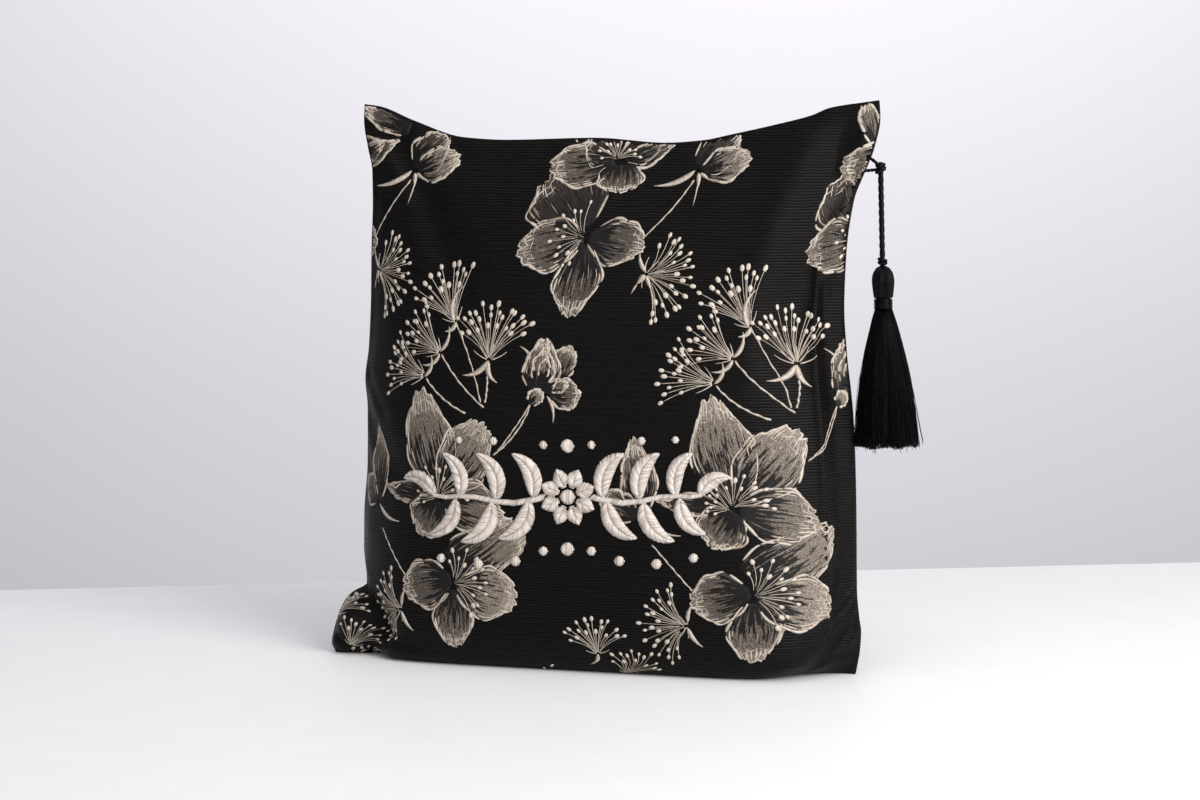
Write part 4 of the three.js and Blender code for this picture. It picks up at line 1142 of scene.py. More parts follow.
def woven_threads(layout, petals, settings):
    """Parts of every raised thread of one face."""
    cloth = layout.cloth
    rng = np.random.default_rng(11)
    swell = settings.line_width / (LINE_WIDTH * MM)
    parts = []
    for paths, width in petal_dashes(petals, rng):
        each = paths.shape[1]
        lift = np.repeat(THREAD_LIFT + LAYER_LIFT * petals["layer"], each)[:, None]
        # Threads on a petal take a random tone plus a share of the petal's tone, and with it some of its
        # painted light.
        tone = np.clip(rng.normal(0.5, 0.3, len(lift)) + 0.25 * np.repeat(petals["tone"], each), 0, 1)
        flat = paths.reshape(-1, *paths.shape[2:])
        parts.append(strokes(cloth, flat, width.reshape(len(flat), -1) * swell, THREAD_HIGH, lift, tone))
    leaves = layout.table(LEAVES)
    t = np.linspace(0, 1, 11)
    path = curved_paths(leaves, "foot", "tip", "bend", len(t))
    wide = leaves["broad"][:, None] * PIXEL * LEAF_FILL * (0.14 + 0.86 * np.sin(np.pi * t**0.6))
    parts.append(strokes(cloth, path, wide, LEAF_HIGH, LEAF_LIFT, 0.55))
    stems = layout.table(STEMS, ("from", "to"))
    t = np.linspace(0, 1, 26)
    path = curved_paths(stems, "from", "to", "sway", len(t))
    path = path + 0.13 * np.sin(t * 31 + stems["from"][:, :1])[..., None] * np.array((0.9, 0.4))
    thick = stems["thick"][:, None] * (0.85 + 0.25 * np.sin(t * 41))
    parts.append(strokes(cloth, path, thick, STEM_HIGH, STEM_LIFT, 0.6))
    for rows, lift, cup in ((UMBELS, UMBEL_LIFT, True), (STAMENS, STAMEN_LIFT, False)):
        paths, widths, dots, sizes = fans(rows, layout.place(rows["x"], rows["y"]), rng, cup)
        times = len(layout.shifts)
        tone = np.tile(np.clip(rng.normal(0.65, 0.25, len(paths)), 0, 1), times)
        widths = np.tile(widths, (times, 1)) * swell
        parts.append(strokes(cloth, layout.copies(paths), widths, THREAD_HIGH, lift, tone))
        sizes = np.tile(sizes, (times, 1))
        parts.append(dome_dots(cloth, layout.copies(dots), sizes[:, 0], sizes[:, 1], DOME_HIGH, lift))
    return parts


def woven_figure(front, cloth, name, petal_finish, line_finish, settings):
    """Petals and threads of one face, as two pieces."""
    layout = FlowerLayout(front, cloth)
    petals = layout.table(PETALS)
    petals["seed"] = np.arange(len(petals["foot"])) * SEED_STEP
    points, faces, uv, tone, reach = petal_patches(cloth, petals)
    values = {"tone": tone, "reach": reach}
    build(name + "_petals", points, faces, uv=uv, values=values, material=petal_finish)
    build_parts(name + "_threads", woven_threads(layout, petals, settings), toned=True, material=line_finish)


# Satin-stitch ornament: a garland of leaves about a rosette, with dots. Places are pixels of the photograph,
# given for the right half and mirrored about the middle.

GARLAND_MIDDLE = (568, 497)
GARLAND_LEAVES = columns("foot_x foot_y tip_x tip_y broad bend", (
    (603, 497, 624, 454, 18, -0.2), (607, 501, 637, 538, 18, 0.2), (640, 499, 659, 454, 18, -0.2),
    (644, 503, 674, 541, 18, 0.2), (676, 496, 693, 453, 16, -0.2), (680, 499, 706, 534, 16, 0.2),
    (700, 495, 731, 478, 15, -0.2)))
GARLAND_STEM = columns("x y", (
    (592, 497), (604, 500), (622, 503), (642, 501), (660, 497), (678, 496), (690, 497), (702, 495)))
GARLAND_DOTS = columns("x y size", (
    (568, 446, 13), (568, 549, 13), (592, 551, 9), (620, 561, 10), (657, 564, 10), (694, 558, 9),
    (592, 445, 8), (642, 441, 8), (676, 440, 7)))
DOTS_IN_THE_MIDDLE = 2
ROSETTE = {"petals": 8, "inner": 4.4, "outer": 12.6, "broad": 7.2, "middle": 6.4}
STEM_WIDE = 2.6
STEM_SLANT = 0.8
SLANT = 0.9
STITCH_WIDER = 1.6
STITCH_HIGH = 0.14
STITCH_LIFT = 0.3
STITCH_UNEVEN = 0.03
FULL_PADDING_AT = 2.2
LEAST_PADDING = 0.3


def thread_line(points, pitch):
    """Places along a line at an even pitch, the unit sideways direction at each, and their distance along
    it."""
    reach = path_reach(points)
    at = np.arange(0, reach[-1], pitch)
    line = path_points(at, reach, points)
    return line, quarter_turn(unit(np.gradient(line, axis=0))), at


class SatinStitcher:
    """Lays satin stitches on the cloth: threads side by side, each arched over padding."""

    def __init__(self, cloth, settings):
        self.cloth = cloth
        self.pitch = settings.thread_width / MM
        self.pad = settings.padding / MM
        self.rng = np.random.default_rng(5)
        self.parts = []

    def threads(self, one, two, arch):
        """Threads from places one to places two with the height arch, (count, steps), over the cloth."""
        s = np.linspace(0, 1, arch.shape[1])[:, None]
        paths = one[:, None] + (two - one)[:, None] * s
        tone = self.rng.uniform(0, 1, len(one))
        lift = STITCH_LIFT + self.pad * arch
        self.parts.append(strokes(self.cloth, paths, self.pitch * STITCH_WIDER, STITCH_HIGH, lift, tone))

    def leaf(self, foot, tip, broad, bend):
        """A leaf in two halves: threads slant from the vein to each edge and dip at both."""
        t = np.linspace(0, 1, 60)[:, None]
        run = tip - foot
        aside = quarter_turn(run)
        line, sideways, at = thread_line(foot + run * t + aside * bend * 4 * t * (1 - t), self.pitch)
        half = broad / 2 * (0.1 + 0.9 * np.sin(np.pi * (at / at[-1]) ** 0.8) ** 0.8)
        end = np.minimum(at + SLANT * half, at[-1])
        s = np.linspace(0, 1, 6)
        full = np.clip(half / FULL_PADDING_AT, LEAST_PADDING, 1)[:, None]
        arch = full * np.sin(np.pi * (0.14 + 0.82 * s)) ** 0.7
        for side in (sideways * half[:, None], -sideways * half[:, None]):
            outer = path_points(end, at, line + side)
            uneven = 1 + self.rng.uniform(-STITCH_UNEVEN, STITCH_UNEVEN, (len(line), 1))
            self.threads(line, line + (outer - line) * uneven, arch)

    def band(self, points, half, slant):
        """A band of threads across a line, half its breadth at each place, slanting along it."""
        line, sideways, at = thread_line(points, self.pitch)
        uneven = 1 + self.rng.uniform(-STITCH_UNEVEN, STITCH_UNEVEN, (len(at), 1))
        half = half(at / at[-1])[:, None] * uneven
        ahead = np.stack((sideways[:, 1], -sideways[:, 0]), -1) * half * slant
        s = np.linspace(-1, 1, 7)
        arch = np.sqrt(np.clip(1 - s * s, 0, 1)) * np.clip(half / FULL_PADDING_AT, LEAST_PADDING, 1)
        self.threads(line - sideways * half - ahead, line + sideways * half + ahead, arch)

    def spot(self, middle, wide):
        """A round spot of threads that run up it, shorter towards its sides."""
        ends = middle + np.array(((-wide / 2, 0.0), (wide / 2, 0.0)))
        points = ends[:1] + (ends[1:] - ends[:1]) * np.linspace(0, 1, 12)[:, None]
        self.band(points, lambda at: wide / 2 * np.sqrt(np.clip(1 - (2 * at - 1) ** 2, 0.04, 1)), 0.0)


# Stage. The table and the wall are sized in millimetres, lamps placed in metres: place, aim, size, share of
# the key light and colour.

TABLE_HALF = 3000.0
TABLE_DEEP = 2600.0
WALL_BACK = 1500.0
WALL_BELOW = 1200.0
WALL_HALF = 4000.0
WALL_HIGH = 4200.0
TABLE_TONES = (0.86, 0.855, 0.86), (0.875, 0.87, 0.875)
FAR_SHADE = 0.965
FILL_COLOUR = (0.95, 0.95, 1.0, 1)
LAMPS = {
    "window": ((0.8, -0.52, 0.5), (0.0, 0.0, 0.12), (0.6, 0.8), 1.0, (1.0, 0.985, 0.97)),
    "front_fill": ((-0.3, -1.6, 1.3), (0.0, 0.0, 0.1), (1.2, 1.0), 0.15, (0.97, 0.98, 1.0)),
    "overhead": ((0.3, -0.5, 1.9), (0.0, 0.0, 0.0), (1.6, 1.4), 1.4, (1.0, 0.99, 1.0))}
WALL_LAMP = {"behind": (0.14, 0.45, 0.8), "aim": (0.04, 1.5, 0.7), "size": (1.6, 0.5), "share": 0.95,
             "colour": (1.0, 0.99, 1.0)}


class BAG_OT_stage(bpy.types.Operator):
    """Makes the table, the backdrop, the lights and the camera"""
    bl_idname = "bag.stage"
    bl_label = "Stage"

    def execute(self, context):
        settings = context.scene.bag_stage
        turn = math.radians(CAMERA_TURN)
        right = np.array((math.cos(turn), math.sin(turn), 0.0))
        back = np.array((-math.sin(turn), math.cos(turn), 0.0))
        upward = np.array((0.0, 0.0, 1.0))

        def plane(name, origin, one, two, material):
            """A flat surface of the stage: one to each side of its origin, two beyond it."""
            corners = [origin - one, origin + one, origin + one + two, origin - one + two]
            mesh = bpy.data.meshes.new(name)
            mesh.from_pydata([tuple(c * MM) for c in corners], [], [(0, 1, 2, 3)])
            mesh.materials.append(material)
            thing = bpy.data.objects.new(name, mesh)
            context.scene.collection.objects.link(thing)

        table, tree, shader = new_material("table_top", Roughness=0.6, Specular_IOR_Level=0.25)
        where = object_place(tree)
        grain = ramp(tree, noise(tree, where, 40.0, 3.0), 0.3, 0.7)
        tree.links.new(blend(tree, grain, *TABLE_TONES), shader.inputs["Base Color"])
        wall, tree, shader = new_material("backdrop", Roughness=0.9, Specular_IOR_Level=0.1)
        where = object_place(tree)
        soft = ramp(tree, noise(tree, where, 0.8, 1.0), 0.3, 0.7)
        far = tuple(c * FAR_SHADE for c in settings.backdrop)
        tree.links.new(blend(tree, soft, settings.backdrop, far), shader.inputs["Base Color"])
        along = (right + back * TABLE_SLANT) * TABLE_HALF
        plane("table", back * TABLE_BEHIND, along, back * -TABLE_DEEP, table)
        plane("wall", back * WALL_BACK - upward * WALL_BELOW, right * WALL_HALF, upward * WALL_HIGH, wall)

        world = bpy.data.worlds.new("studio")
        context.scene.world = world
        world.use_nodes = True
        background = world.node_tree.nodes["Background"].inputs
        background["Color"].default_value = FILL_COLOUR
        background["Strength"].default_value = settings.fill

        def light(name, place, aim, size, share, colour):
            """A soft lamp at a place, turned to what it aims at."""
            data = bpy.data.lights.new(name, "AREA")
            data.shape = "RECTANGLE"
            data.size, data.size_y = size
            data.energy = settings.key * share
            data.color = colour
            lamp = bpy.data.objects.new(name, data)
            lamp.location = Vector(place)
            lamp.rotation_euler = (Vector(aim) - Vector(place)).to_track_quat("-Z", "Y").to_euler()
            context.scene.collection.objects.link(lamp)

        for name, values in LAMPS.items():
            light(name, *values)
        behind, aim = (back * WALL_LAMP[key][1] + right * WALL_LAMP[key][0] + upward * WALL_LAMP[key][2]
                       for key in ("behind", "aim"))
        light("back_wall", behind, aim, WALL_LAMP["size"], WALL_LAMP["share"], WALL_LAMP["colour"])

        camera = bpy.data.cameras.new("photo_camera")
        camera.sensor_width = SENSOR
        camera.lens = FOCAL
        camera.clip_end = FAR_CLIP
        eye = bpy.data.objects.new("photo_camera", camera)
        eye.location = Vector((-back * CAMERA_AWAY + upward * CAMERA_HIGH) * MM)
        eye.rotation_euler = (math.radians(90 - CAMERA_DOWN), 0.0, turn)
        context.scene.collection.objects.link(eye)
        context.scene.camera = eye
        context.scene.view_settings.view_transform = "Standard"
        return {"FINISHED"}


def cloth_shell(cloth, name, low, high, nodes, material):
    """A closed shell over the rows from low to high: the outer grid, an inner grid one wall deeper, and their
    rims. The first and last row follow low and high, which may change across the cloth. The wall thins to the
    hem at the seams, and its inner side runs level from there."""
    u = cloth.u
    rows = (cloth.w > low.max() + ROW_APART) & (cloth.w < high.min() - ROW_APART)
    w = np.concatenate((low[None], np.repeat(cloth.w[rows][:, None], len(u), 1), high[None]))
    across = np.broadcast_to(u, w.shape)
    points = cloth.sample(cloth.points, across, w)
    normal = cloth.sample(cloth.normals, across, w)
    far = np.minimum(seam_distance(across, w), np.minimum(w - low, high - w) * HEIGHT + SLIT_FIRM)
    thick = HEM + (WALL - HEM) * smooth(far / HEM_RUN)
    deep = smooth(seam_distance(across, w) / HEM_RUN)[..., None]
    straight = np.zeros_like(normal)
    straight[..., 1] = cloth.face
    inward = unit(straight * (1 - deep) + normal * deep)
    inner = points - inward * thick[..., None]
    inner[..., 2] = np.maximum(inner[..., 2], points[..., 2].min() + INNER_RISE)
    quads = grid_quads(*w.shape)
    if cloth.face == FRONT:
        quads = quads[:, ::-1]
    faces = close_sheet(quads, w.size)
    flat = cloth.flat(across, w).reshape(-1, 2)
    shell = build(name, np.concatenate((points.reshape(-1, 3), inner.reshape(-1, 3))), faces,
                  uv=np.tile(flat, (2, 1)), material=material, show=nodes)


CLOTH = {}


class BAG_OT_cloth(bpy.types.Operator):
    """Makes the two faces of brocade and the band above the zip, one wall of cloth thick"""
    bl_idname = "bag.cloth"
    bl_label = "Cloth"

    def execute(self, context):
        material = cloth_material(context.scene.bag_cloth)
        front, back = ClothFace(FRONT, (0.0, 0.0)), ClothFace(BACK, BACK_SHIFT)
        CLOTH.update(front=front, back=back)
        ends = np.zeros_like(front.u), np.ones_like(front.u)
        cloth_shell(front, "front_cloth", *ends, ["front_panel"], material)
        cloth_shell(back, "back_cloth", ends[0], slit(back.u)[0], ["back_panel"], material)
        cloth_shell(back, "yoke_cloth", slit(back.u)[1], ends[1], ["back_yoke"], material)
        return {"FINISHED"}


class BAG_OT_flowers(bpy.types.Operator):
    """Weaves the blossoms, buds, stems and umbels into both faces"""
    bl_idname = "bag.flowers"
    bl_label = "Woven flowers"

    def execute(self, context):
        settings = context.scene.bag_flowers
        petal_finish, line_finish = petal_material(settings), line_material(settings)
        for name, cloth in CLOTH.items():
            woven_figure(CLOTH["front"], cloth, name, petal_finish, line_finish, settings)
        return {"FINISHED"}


class BAG_OT_ornament(bpy.types.Operator):
    """Embroiders the satin-stitch garland on the picture face"""
    bl_idname = "bag.ornament"
    bl_label = "Ornament"

    def execute(self, context):
        settings = context.scene.bag_ornament
        cloth = CLOTH["front"]
        stitcher = SatinStitcher(cloth, settings)

        def place(x, y, mirror):
            """Flat coordinates of pixels, or of their mirror images about the garland's middle."""
            return cloth.from_photo(np.stack((2 * GARLAND_MIDDLE[0] - x if mirror else x, y), -1))

        for mirror in (False, True):
            sign = -1 if mirror else 1
            feet = place(GARLAND_LEAVES["foot_x"], GARLAND_LEAVES["foot_y"], mirror)
            tips = place(GARLAND_LEAVES["tip_x"], GARLAND_LEAVES["tip_y"], mirror)
            stem = place(GARLAND_STEM["x"], GARLAND_STEM["y"], mirror)
            stitcher.band(stem, lambda at: STEM_WIDE / 2 * (1 - 0.4 * at), STEM_SLANT)
            for foot, tip, broad, bend in zip(feet, tips, GARLAND_LEAVES["broad"], GARLAND_LEAVES["bend"]):
                stitcher.leaf(foot, tip, broad * PIXEL, -sign * bend)
            outer = slice(DOTS_IN_THE_MIDDLE if mirror else 0, None)
            spots = place(GARLAND_DOTS["x"][outer], GARLAND_DOTS["y"][outer], mirror)
            for spot, size in zip(spots, GARLAND_DOTS["size"][outer]):
                stitcher.spot(spot, size * PIXEL)
        middle = cloth.from_photo(np.array((GARLAND_MIDDLE,), float))[0]
        for k in range(ROSETTE["petals"]):
            turn = 2 * math.pi * (k + 0.5) / ROSETTE["petals"]
            ahead = np.array((math.cos(turn), math.sin(turn)))
            foot, tip = middle + ahead * ROSETTE["inner"], middle + ahead * ROSETTE["outer"]
            stitcher.leaf(foot, tip, ROSETTE["broad"], 0.0)
        stitcher.spot(middle, ROSETTE["middle"])
        build_parts("satin_ornament", stitcher.parts, toned=True, material=satin_material(settings))
        return {"FINISHED"}


# Zip, in millimetres where not a share: how far tape and teeth stop short of the slot's end, the teeth, their
# sink below the cloth, and the stitches beside the slot

TAPE_SHORT = 0.01
TEETH_SHORT = 0.045
TEETH_START = 0.6
TOOTH_WIDE = 1.9
TOOTH_OFFSET = 0.45
TOOTH_LEAN = 0.1
TOOTH_SINK = 0.62
TOOTH_DIP = 0.55
TOOTH_RADIUS = 0.36
TOOTH_SWELL = 0.1
STITCH_PITCH = 1.25
STITCH_THREAD = 0.45
STITCH_CREST = 0.2


class BAG_OT_zip(bpy.types.Operator):
    """Makes the tape and teeth of the zip, and finishes its slider and pull"""
    bl_idname = "bag.zip"
    bl_label = "Zip"

    def execute(self, context):
        settings = context.scene.bag_zip
        cloth = CLOTH["back"]
        end = ZIP_END - TAPE_SHORT
        u = np.linspace(-end, end, 160)
        side = np.linspace(-1, 1, 13)
        half = (ZIP_SLOT / 2 + TAPE_LAP) / HEIGHT
        across, w = np.meshgrid(u, ZIP_AT + side * half, indexing="ij")
        points = cloth.sample(cloth.points, across, w)
        normal = cloth.sample(cloth.normals, across, w)
        under = WALL + CLEARANCE
        top, below = points - normal * under, points - normal * (under + TAPE_THICK)
        quads = grid_quads(len(u), len(side))[:, ::-1]
        uv = np.stack((cloth.sample(cloth.across, across, w), (w - ZIP_AT) * HEIGHT), -1).reshape(-1, 2)
        sheet = np.concatenate((top.reshape(-1, 3), below.reshape(-1, 3)))
        build("tape", sheet, close_sheet(quads, across.size), uv=np.tile(uv, (2, 1)), slot="zip_tape",
              material=tape_material(), show=["zip_tape"])
        end = ZIP_END - TEETH_SHORT
        line = np.linspace(-end, end, 400)
        middle = cloth.sample(cloth.points, line, np.full_like(line, ZIP_AT))
        facing = cloth.sample(cloth.normals, line, np.full_like(line, ZIP_AT))
        reach = path_reach(middle)
        at = np.arange(TEETH_START, reach[-1] - TEETH_START, settings.tooth_pitch / MM)
        place, out = path_points(at, reach, middle), path_points(at, reach, facing)
        ahead = unit(np.gradient(place, axis=0))
        sideways = np.cross(out, ahead)
        turn = np.linspace(-1, 1, 9)
        hook = np.where(np.arange(len(at)) % 2 == 0, 1.0, -1.0)[:, None]
        paths = (place[:, None] + sideways[:, None] * (turn * TOOTH_WIDE + hook * TOOTH_OFFSET)[..., None]
                 + ahead[:, None] * (hook * TOOTH_LEAN * turn)[..., None]
                 - out[:, None] * (TOOTH_SINK + TOOTH_DIP * np.abs(turn) ** 3)[..., None])
        teeth = tubes(paths, TOOTH_RADIUS + TOOTH_SWELL * (1 - np.abs(turn)), 6)
        build_parts("zip_teeth", [teeth], slot="zip_coil", material=coil_material(), show=["zip_coil"])
        parts = []
        for w, side in zip(slit(line[:, None]), (-1, 1)):
            w = (w + side * STITCH_AWAY / HEIGHT).ravel()
            flat = cloth.flat(line, w)
            reach = path_reach(flat)
            starts = np.arange(0, reach[-1] - STITCH_LONG, STITCH_LONG * STITCH_PITCH)[:, None]
            paths = path_points(starts + np.linspace(0, STITCH_LONG, 6), reach, flat)
            lift = 0.05 - 0.12 * np.linspace(-1, 1, 6) ** 4
            parts.append(strokes(cloth, paths, STITCH_THREAD, STITCH_CREST, lift, 0.5))
        build_parts("zip_stitches", parts, slot="silk", material=silk_material(context.scene.bag_tassel))
        metal = metal_material(settings)
        for node in ("zip_slider", "zip_pull"):
            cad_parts[node].data.materials.clear()
            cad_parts[node].data.materials.append(metal)
        return {"FINISHED"}


# The tassel's axis: the part's knot place, its lean and its distances down the axis
KNOT_PLACE = np.array((122.45, 6.8, 219.6))
LEAN = 1.8
CORD_START = 3.0
CORD_LONG = 35.5
CORD_TUCK = 0.9
CORD_HIDDEN = 26.0
COLLAR_START = 38.8
COLLAR_HIGH = 2.8
HEAD_START = 41.9
HEAD_HIGH = 14.2
BINDING_HIGH = 4.8
SKIRT_LONG = 60.5
SKIRT_WIDE = 25.5
HEAD_SHAPE = columns("at wide", (
    (0.0, 0.05), (0.04, 0.42), (0.12, 0.68), (0.3, 0.94), (0.48, 1.0), (0.78, 0.92), (0.97, 0.84),
    (1.0, 0.72)))
SKIRT_SHAPE = columns("at wide", (
    (0.0, 0.27), (0.13, 0.45), (0.37, 0.69), (0.61, 0.86), (0.9, 0.96), (1.0, 1.0)))

# Cords and threads of the tassel: radii, pitches of their twist, rings and strands
LOOP_RADIUS = 0.75
LOOP_PITCH = 3.2
CORD_RADIUS = 1.25
CORD_PITCH = 7.0
LOBE_LEAST = 0.78
KNOT_TILTS = (0.55, -0.5, 0.05)
KNOT_RING = 1.75
KNOT_RISE = 1.15
KNOT_THREAD = 0.78
KNOT_CORE = 1.7
COLLAR_LIFTS = (-0.65, 0.6)
COLLAR_RING = 1.45
COLLAR_THREAD = 0.72
COLLAR_CORE = 1.5
HEAD_RADIUS = 4.7
HEAD_STRANDS = 40
HEAD_SIDES = 352
NECK_RADIUS = 3.15
SKIRT_CORE = 0.8
SKIRT_CORE_END = 0.93
SKIRT_STEPS = 12
LOOSE_STRANDS = 44
LOOSE_STEPS = 16
LOOSE_RADIUS = 0.14
BINDING_TURNS = 8
BINDING_RING = 3.75


def hang(distance, radius, turn):
    """Points about the tassel's axis: a distance down it and a radius and turn around it."""
    lean = math.radians(LEAN)
    down = np.array((math.sin(lean), 0.0, -math.cos(lean)))
    one = np.array((math.cos(lean), 0.0, math.sin(lean)))
    two = np.array((0.0, 1.0, 0.0))
    distance, radius, turn = np.broadcast_arrays(distance, radius, turn)
    return (KNOT_PLACE + down * distance[..., None] + one * (radius * np.cos(turn))[..., None]
            + two * (radius * np.sin(turn))[..., None])


def turned(distance, radius, around, ridge=None):
    """A closed turned surface about the tassel's axis: radius at each distance, times 1 + ridge."""
    turn = np.arange(around) * 2 * np.pi / around
    swell = 1 if ridge is None else 1 + ridge(np.asarray(distance)[:, None], turn[None])
    points = hang(np.asarray(distance)[:, None], np.asarray(radius)[:, None] * swell, turn[None])
    return {"points": points.reshape(-1, 3), "quads": grid_quads(len(distance), around, around=True),
            "triangles": end_caps(len(distance), around)}


def around_path(one, two, turn):
    """Directions at turns around a path, from its two square directions."""
    return one[:, None] * np.cos(turn)[:, None] + two[:, None] * np.sin(turn)[:, None]


def twisted_cord(path, radius, pitch, sides, steps):
    """A laid cord of two strands along a path: its section has two lobes, radius times 0.78 + 0.22 |cos|, and
    turns once in a pitch."""
    reach = path_reach(path)
    at = np.linspace(0, reach[-1], steps)
    line = path_points(at, reach, path)
    heading = unit(np.gradient(line, axis=0))
    reference = np.where(np.abs(heading[:, 1:2]) < 0.8, (0.0, 1.0, 0.0), (0.0, 0.0, 1.0))
    one = unit(np.cross(heading, reference))
    two = np.cross(heading, one)
    turn = np.arange(sides) * 2 * np.pi / sides
    twist = np.abs(np.cos(turn[None] - 2 * np.pi * at[:, None] / pitch))
    lobe = radius * (LOBE_LEAST + (1 - LOBE_LEAST) * twist)
    points = line[:, None] + lobe[..., None] * around_path(one, two, turn)
    return {"points": points.reshape(-1, 3), "quads": grid_quads(steps, sides, around=True),
            "triangles": end_caps(steps, sides)}


class BAG_OT_cord(bpy.types.Operator):
    """Makes the loop through the pull, the knot beside the seam and the hanging cord"""
    bl_idname = "bag.cord"
    bl_label = "Cord"

    def execute(self, context):
        settings = context.scene.bag_tassel
        silk = silk_material(settings)
        low, high = (np.array(corner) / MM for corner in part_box("cord_loop"))
        middle = (low[1] + high[1]) / 2
        radius = LOOP_RADIUS
        loop = np.array((
            (KNOT_PLACE[0] - 1.1, middle + 0.8, KNOT_PLACE[2] + 1.0),
            (high[0] - 1.2, middle + 1.2, high[2] + 2.6),
            (high[0] - 4.4, high[1] - 1.4, high[2] + 3.7),
            (low[0] + 2.6, high[1] - radius - 0.1, high[2] + 1.6),
            (low[0] + radius, middle + 0.6, high[2] - 1.6),
            (low[0] + 2.2, low[1] + radius, low[2] + 1.2),
            ((low[0] + high[0]) / 2 + 1.0, low[1] + 1.0, low[2] + 0.9),
            (KNOT_PLACE[0] - 1.1, middle - 0.8, KNOT_PLACE[2] - 0.9)))
        loop = twisted_cord(smooth_path(loop, 72), radius, LOOP_PITCH, 12, 140)
        build_parts("loop_cord", [loop], slot="silk", material=silk, show=["cord_loop"])
        turn = np.linspace(0, 2 * np.pi, 160)
        wraps = []
        for k, tilt in enumerate(KNOT_TILTS):
            ring = KNOT_RING - 0.1 * k
            x, y = ring * np.cos(turn), ring * np.sin(turn)
            rise = (k - 1) * KNOT_RISE + tilt * x
            wraps.append(hang(-rise, np.hypot(x, y) * 0.95, turn + 0.4 * k))
        rings = [closed_ring(wrap[:-1], KNOT_THREAD, 10) for wrap in wraps]
        core = turned(*knot_profile(-2.4, 4.8, KNOT_CORE), 16)
        build_parts("side_knot", rings + [core], slot="silk", material=silk, show=["cord_knot"])
        whole = CORD_TUCK + CORD_LONG + CORD_HIDDEN
        route = hang(CORD_START - CORD_TUCK + np.linspace(0, whole, 32), np.zeros(32), 0.0)
        laid = twisted_cord(route, CORD_RADIUS, CORD_PITCH, 20, 300)
        cord = build_parts("hanging_cord", [laid], slot="silk", material=silk, show=["tassel_cord"])
        turn = np.linspace(0, 2 * np.pi, 120)
        rings = []
        for k, lift in enumerate(COLLAR_LIFTS):
            distance = COLLAR_START + COLLAR_HIGH / 2 + lift + 0.4 * np.cos(turn + k)
            rings.append(closed_ring(hang(distance, COLLAR_RING, turn)[:-1], COLLAR_THREAD, 10))
        core = turned(*knot_profile(COLLAR_START + 0.1, COLLAR_HIGH - 0.2, COLLAR_CORE), 16)
        collar = build_parts("small_knot", rings + [core], slot="silk", material=silk, show=["tassel_collar"])
        return {"FINISHED"}


def smooth_path(points, steps):
    """A Catmull-Rom curve through points."""
    ends = np.concatenate((2 * points[:1] - points[1:2], points, 2 * points[-1:] - points[-2:-1]))
    at = np.linspace(0, len(points) - 1 - 1e-6, steps)
    i = at.astype(int)
    t = (at - i)[:, None]
    a, b, c, d = ends[i], ends[i + 1], ends[i + 2], ends[i + 3]
    return 0.5 * (2 * b + (c - a) * t + (2 * a - 5 * b + 4 * c - d) * t**2 + (3 * b - a - 3 * c + d) * t**3)


def closed_ring(path, radius, sides):
    """A tube along a closed path, joined to itself."""
    heading = unit(np.roll(path, -1, axis=0) - np.roll(path, 1, axis=0))
    away = path - path.mean(0)
    one = unit(away - heading * np.einsum("ij,ij->i", away, heading)[:, None])
    two = np.cross(heading, one)
    turn = np.arange(sides) * 2 * np.pi / sides
    points = path[:, None] + radius * around_path(one, two, turn)
    index = np.arange(len(path) * sides).reshape(len(path), sides)
    ahead, beside = np.roll(index, -1, axis=0), np.roll(index, -1, axis=1)
    quads = np.stack((index, ahead, np.roll(ahead, -1, axis=1), beside), -1).reshape(-1, 4)
    return {"points": points.reshape(-1, 3), "quads": quads}


def knot_profile(start, high, radius, rings=13):
    """Distances and radii of a rounded knot: radius times sin^0.7."""
    turn = np.linspace(0.08, np.pi - 0.08, rings)
    return start + high / 2 * (1 - np.cos(turn)), radius * np.sin(turn) ** 0.7


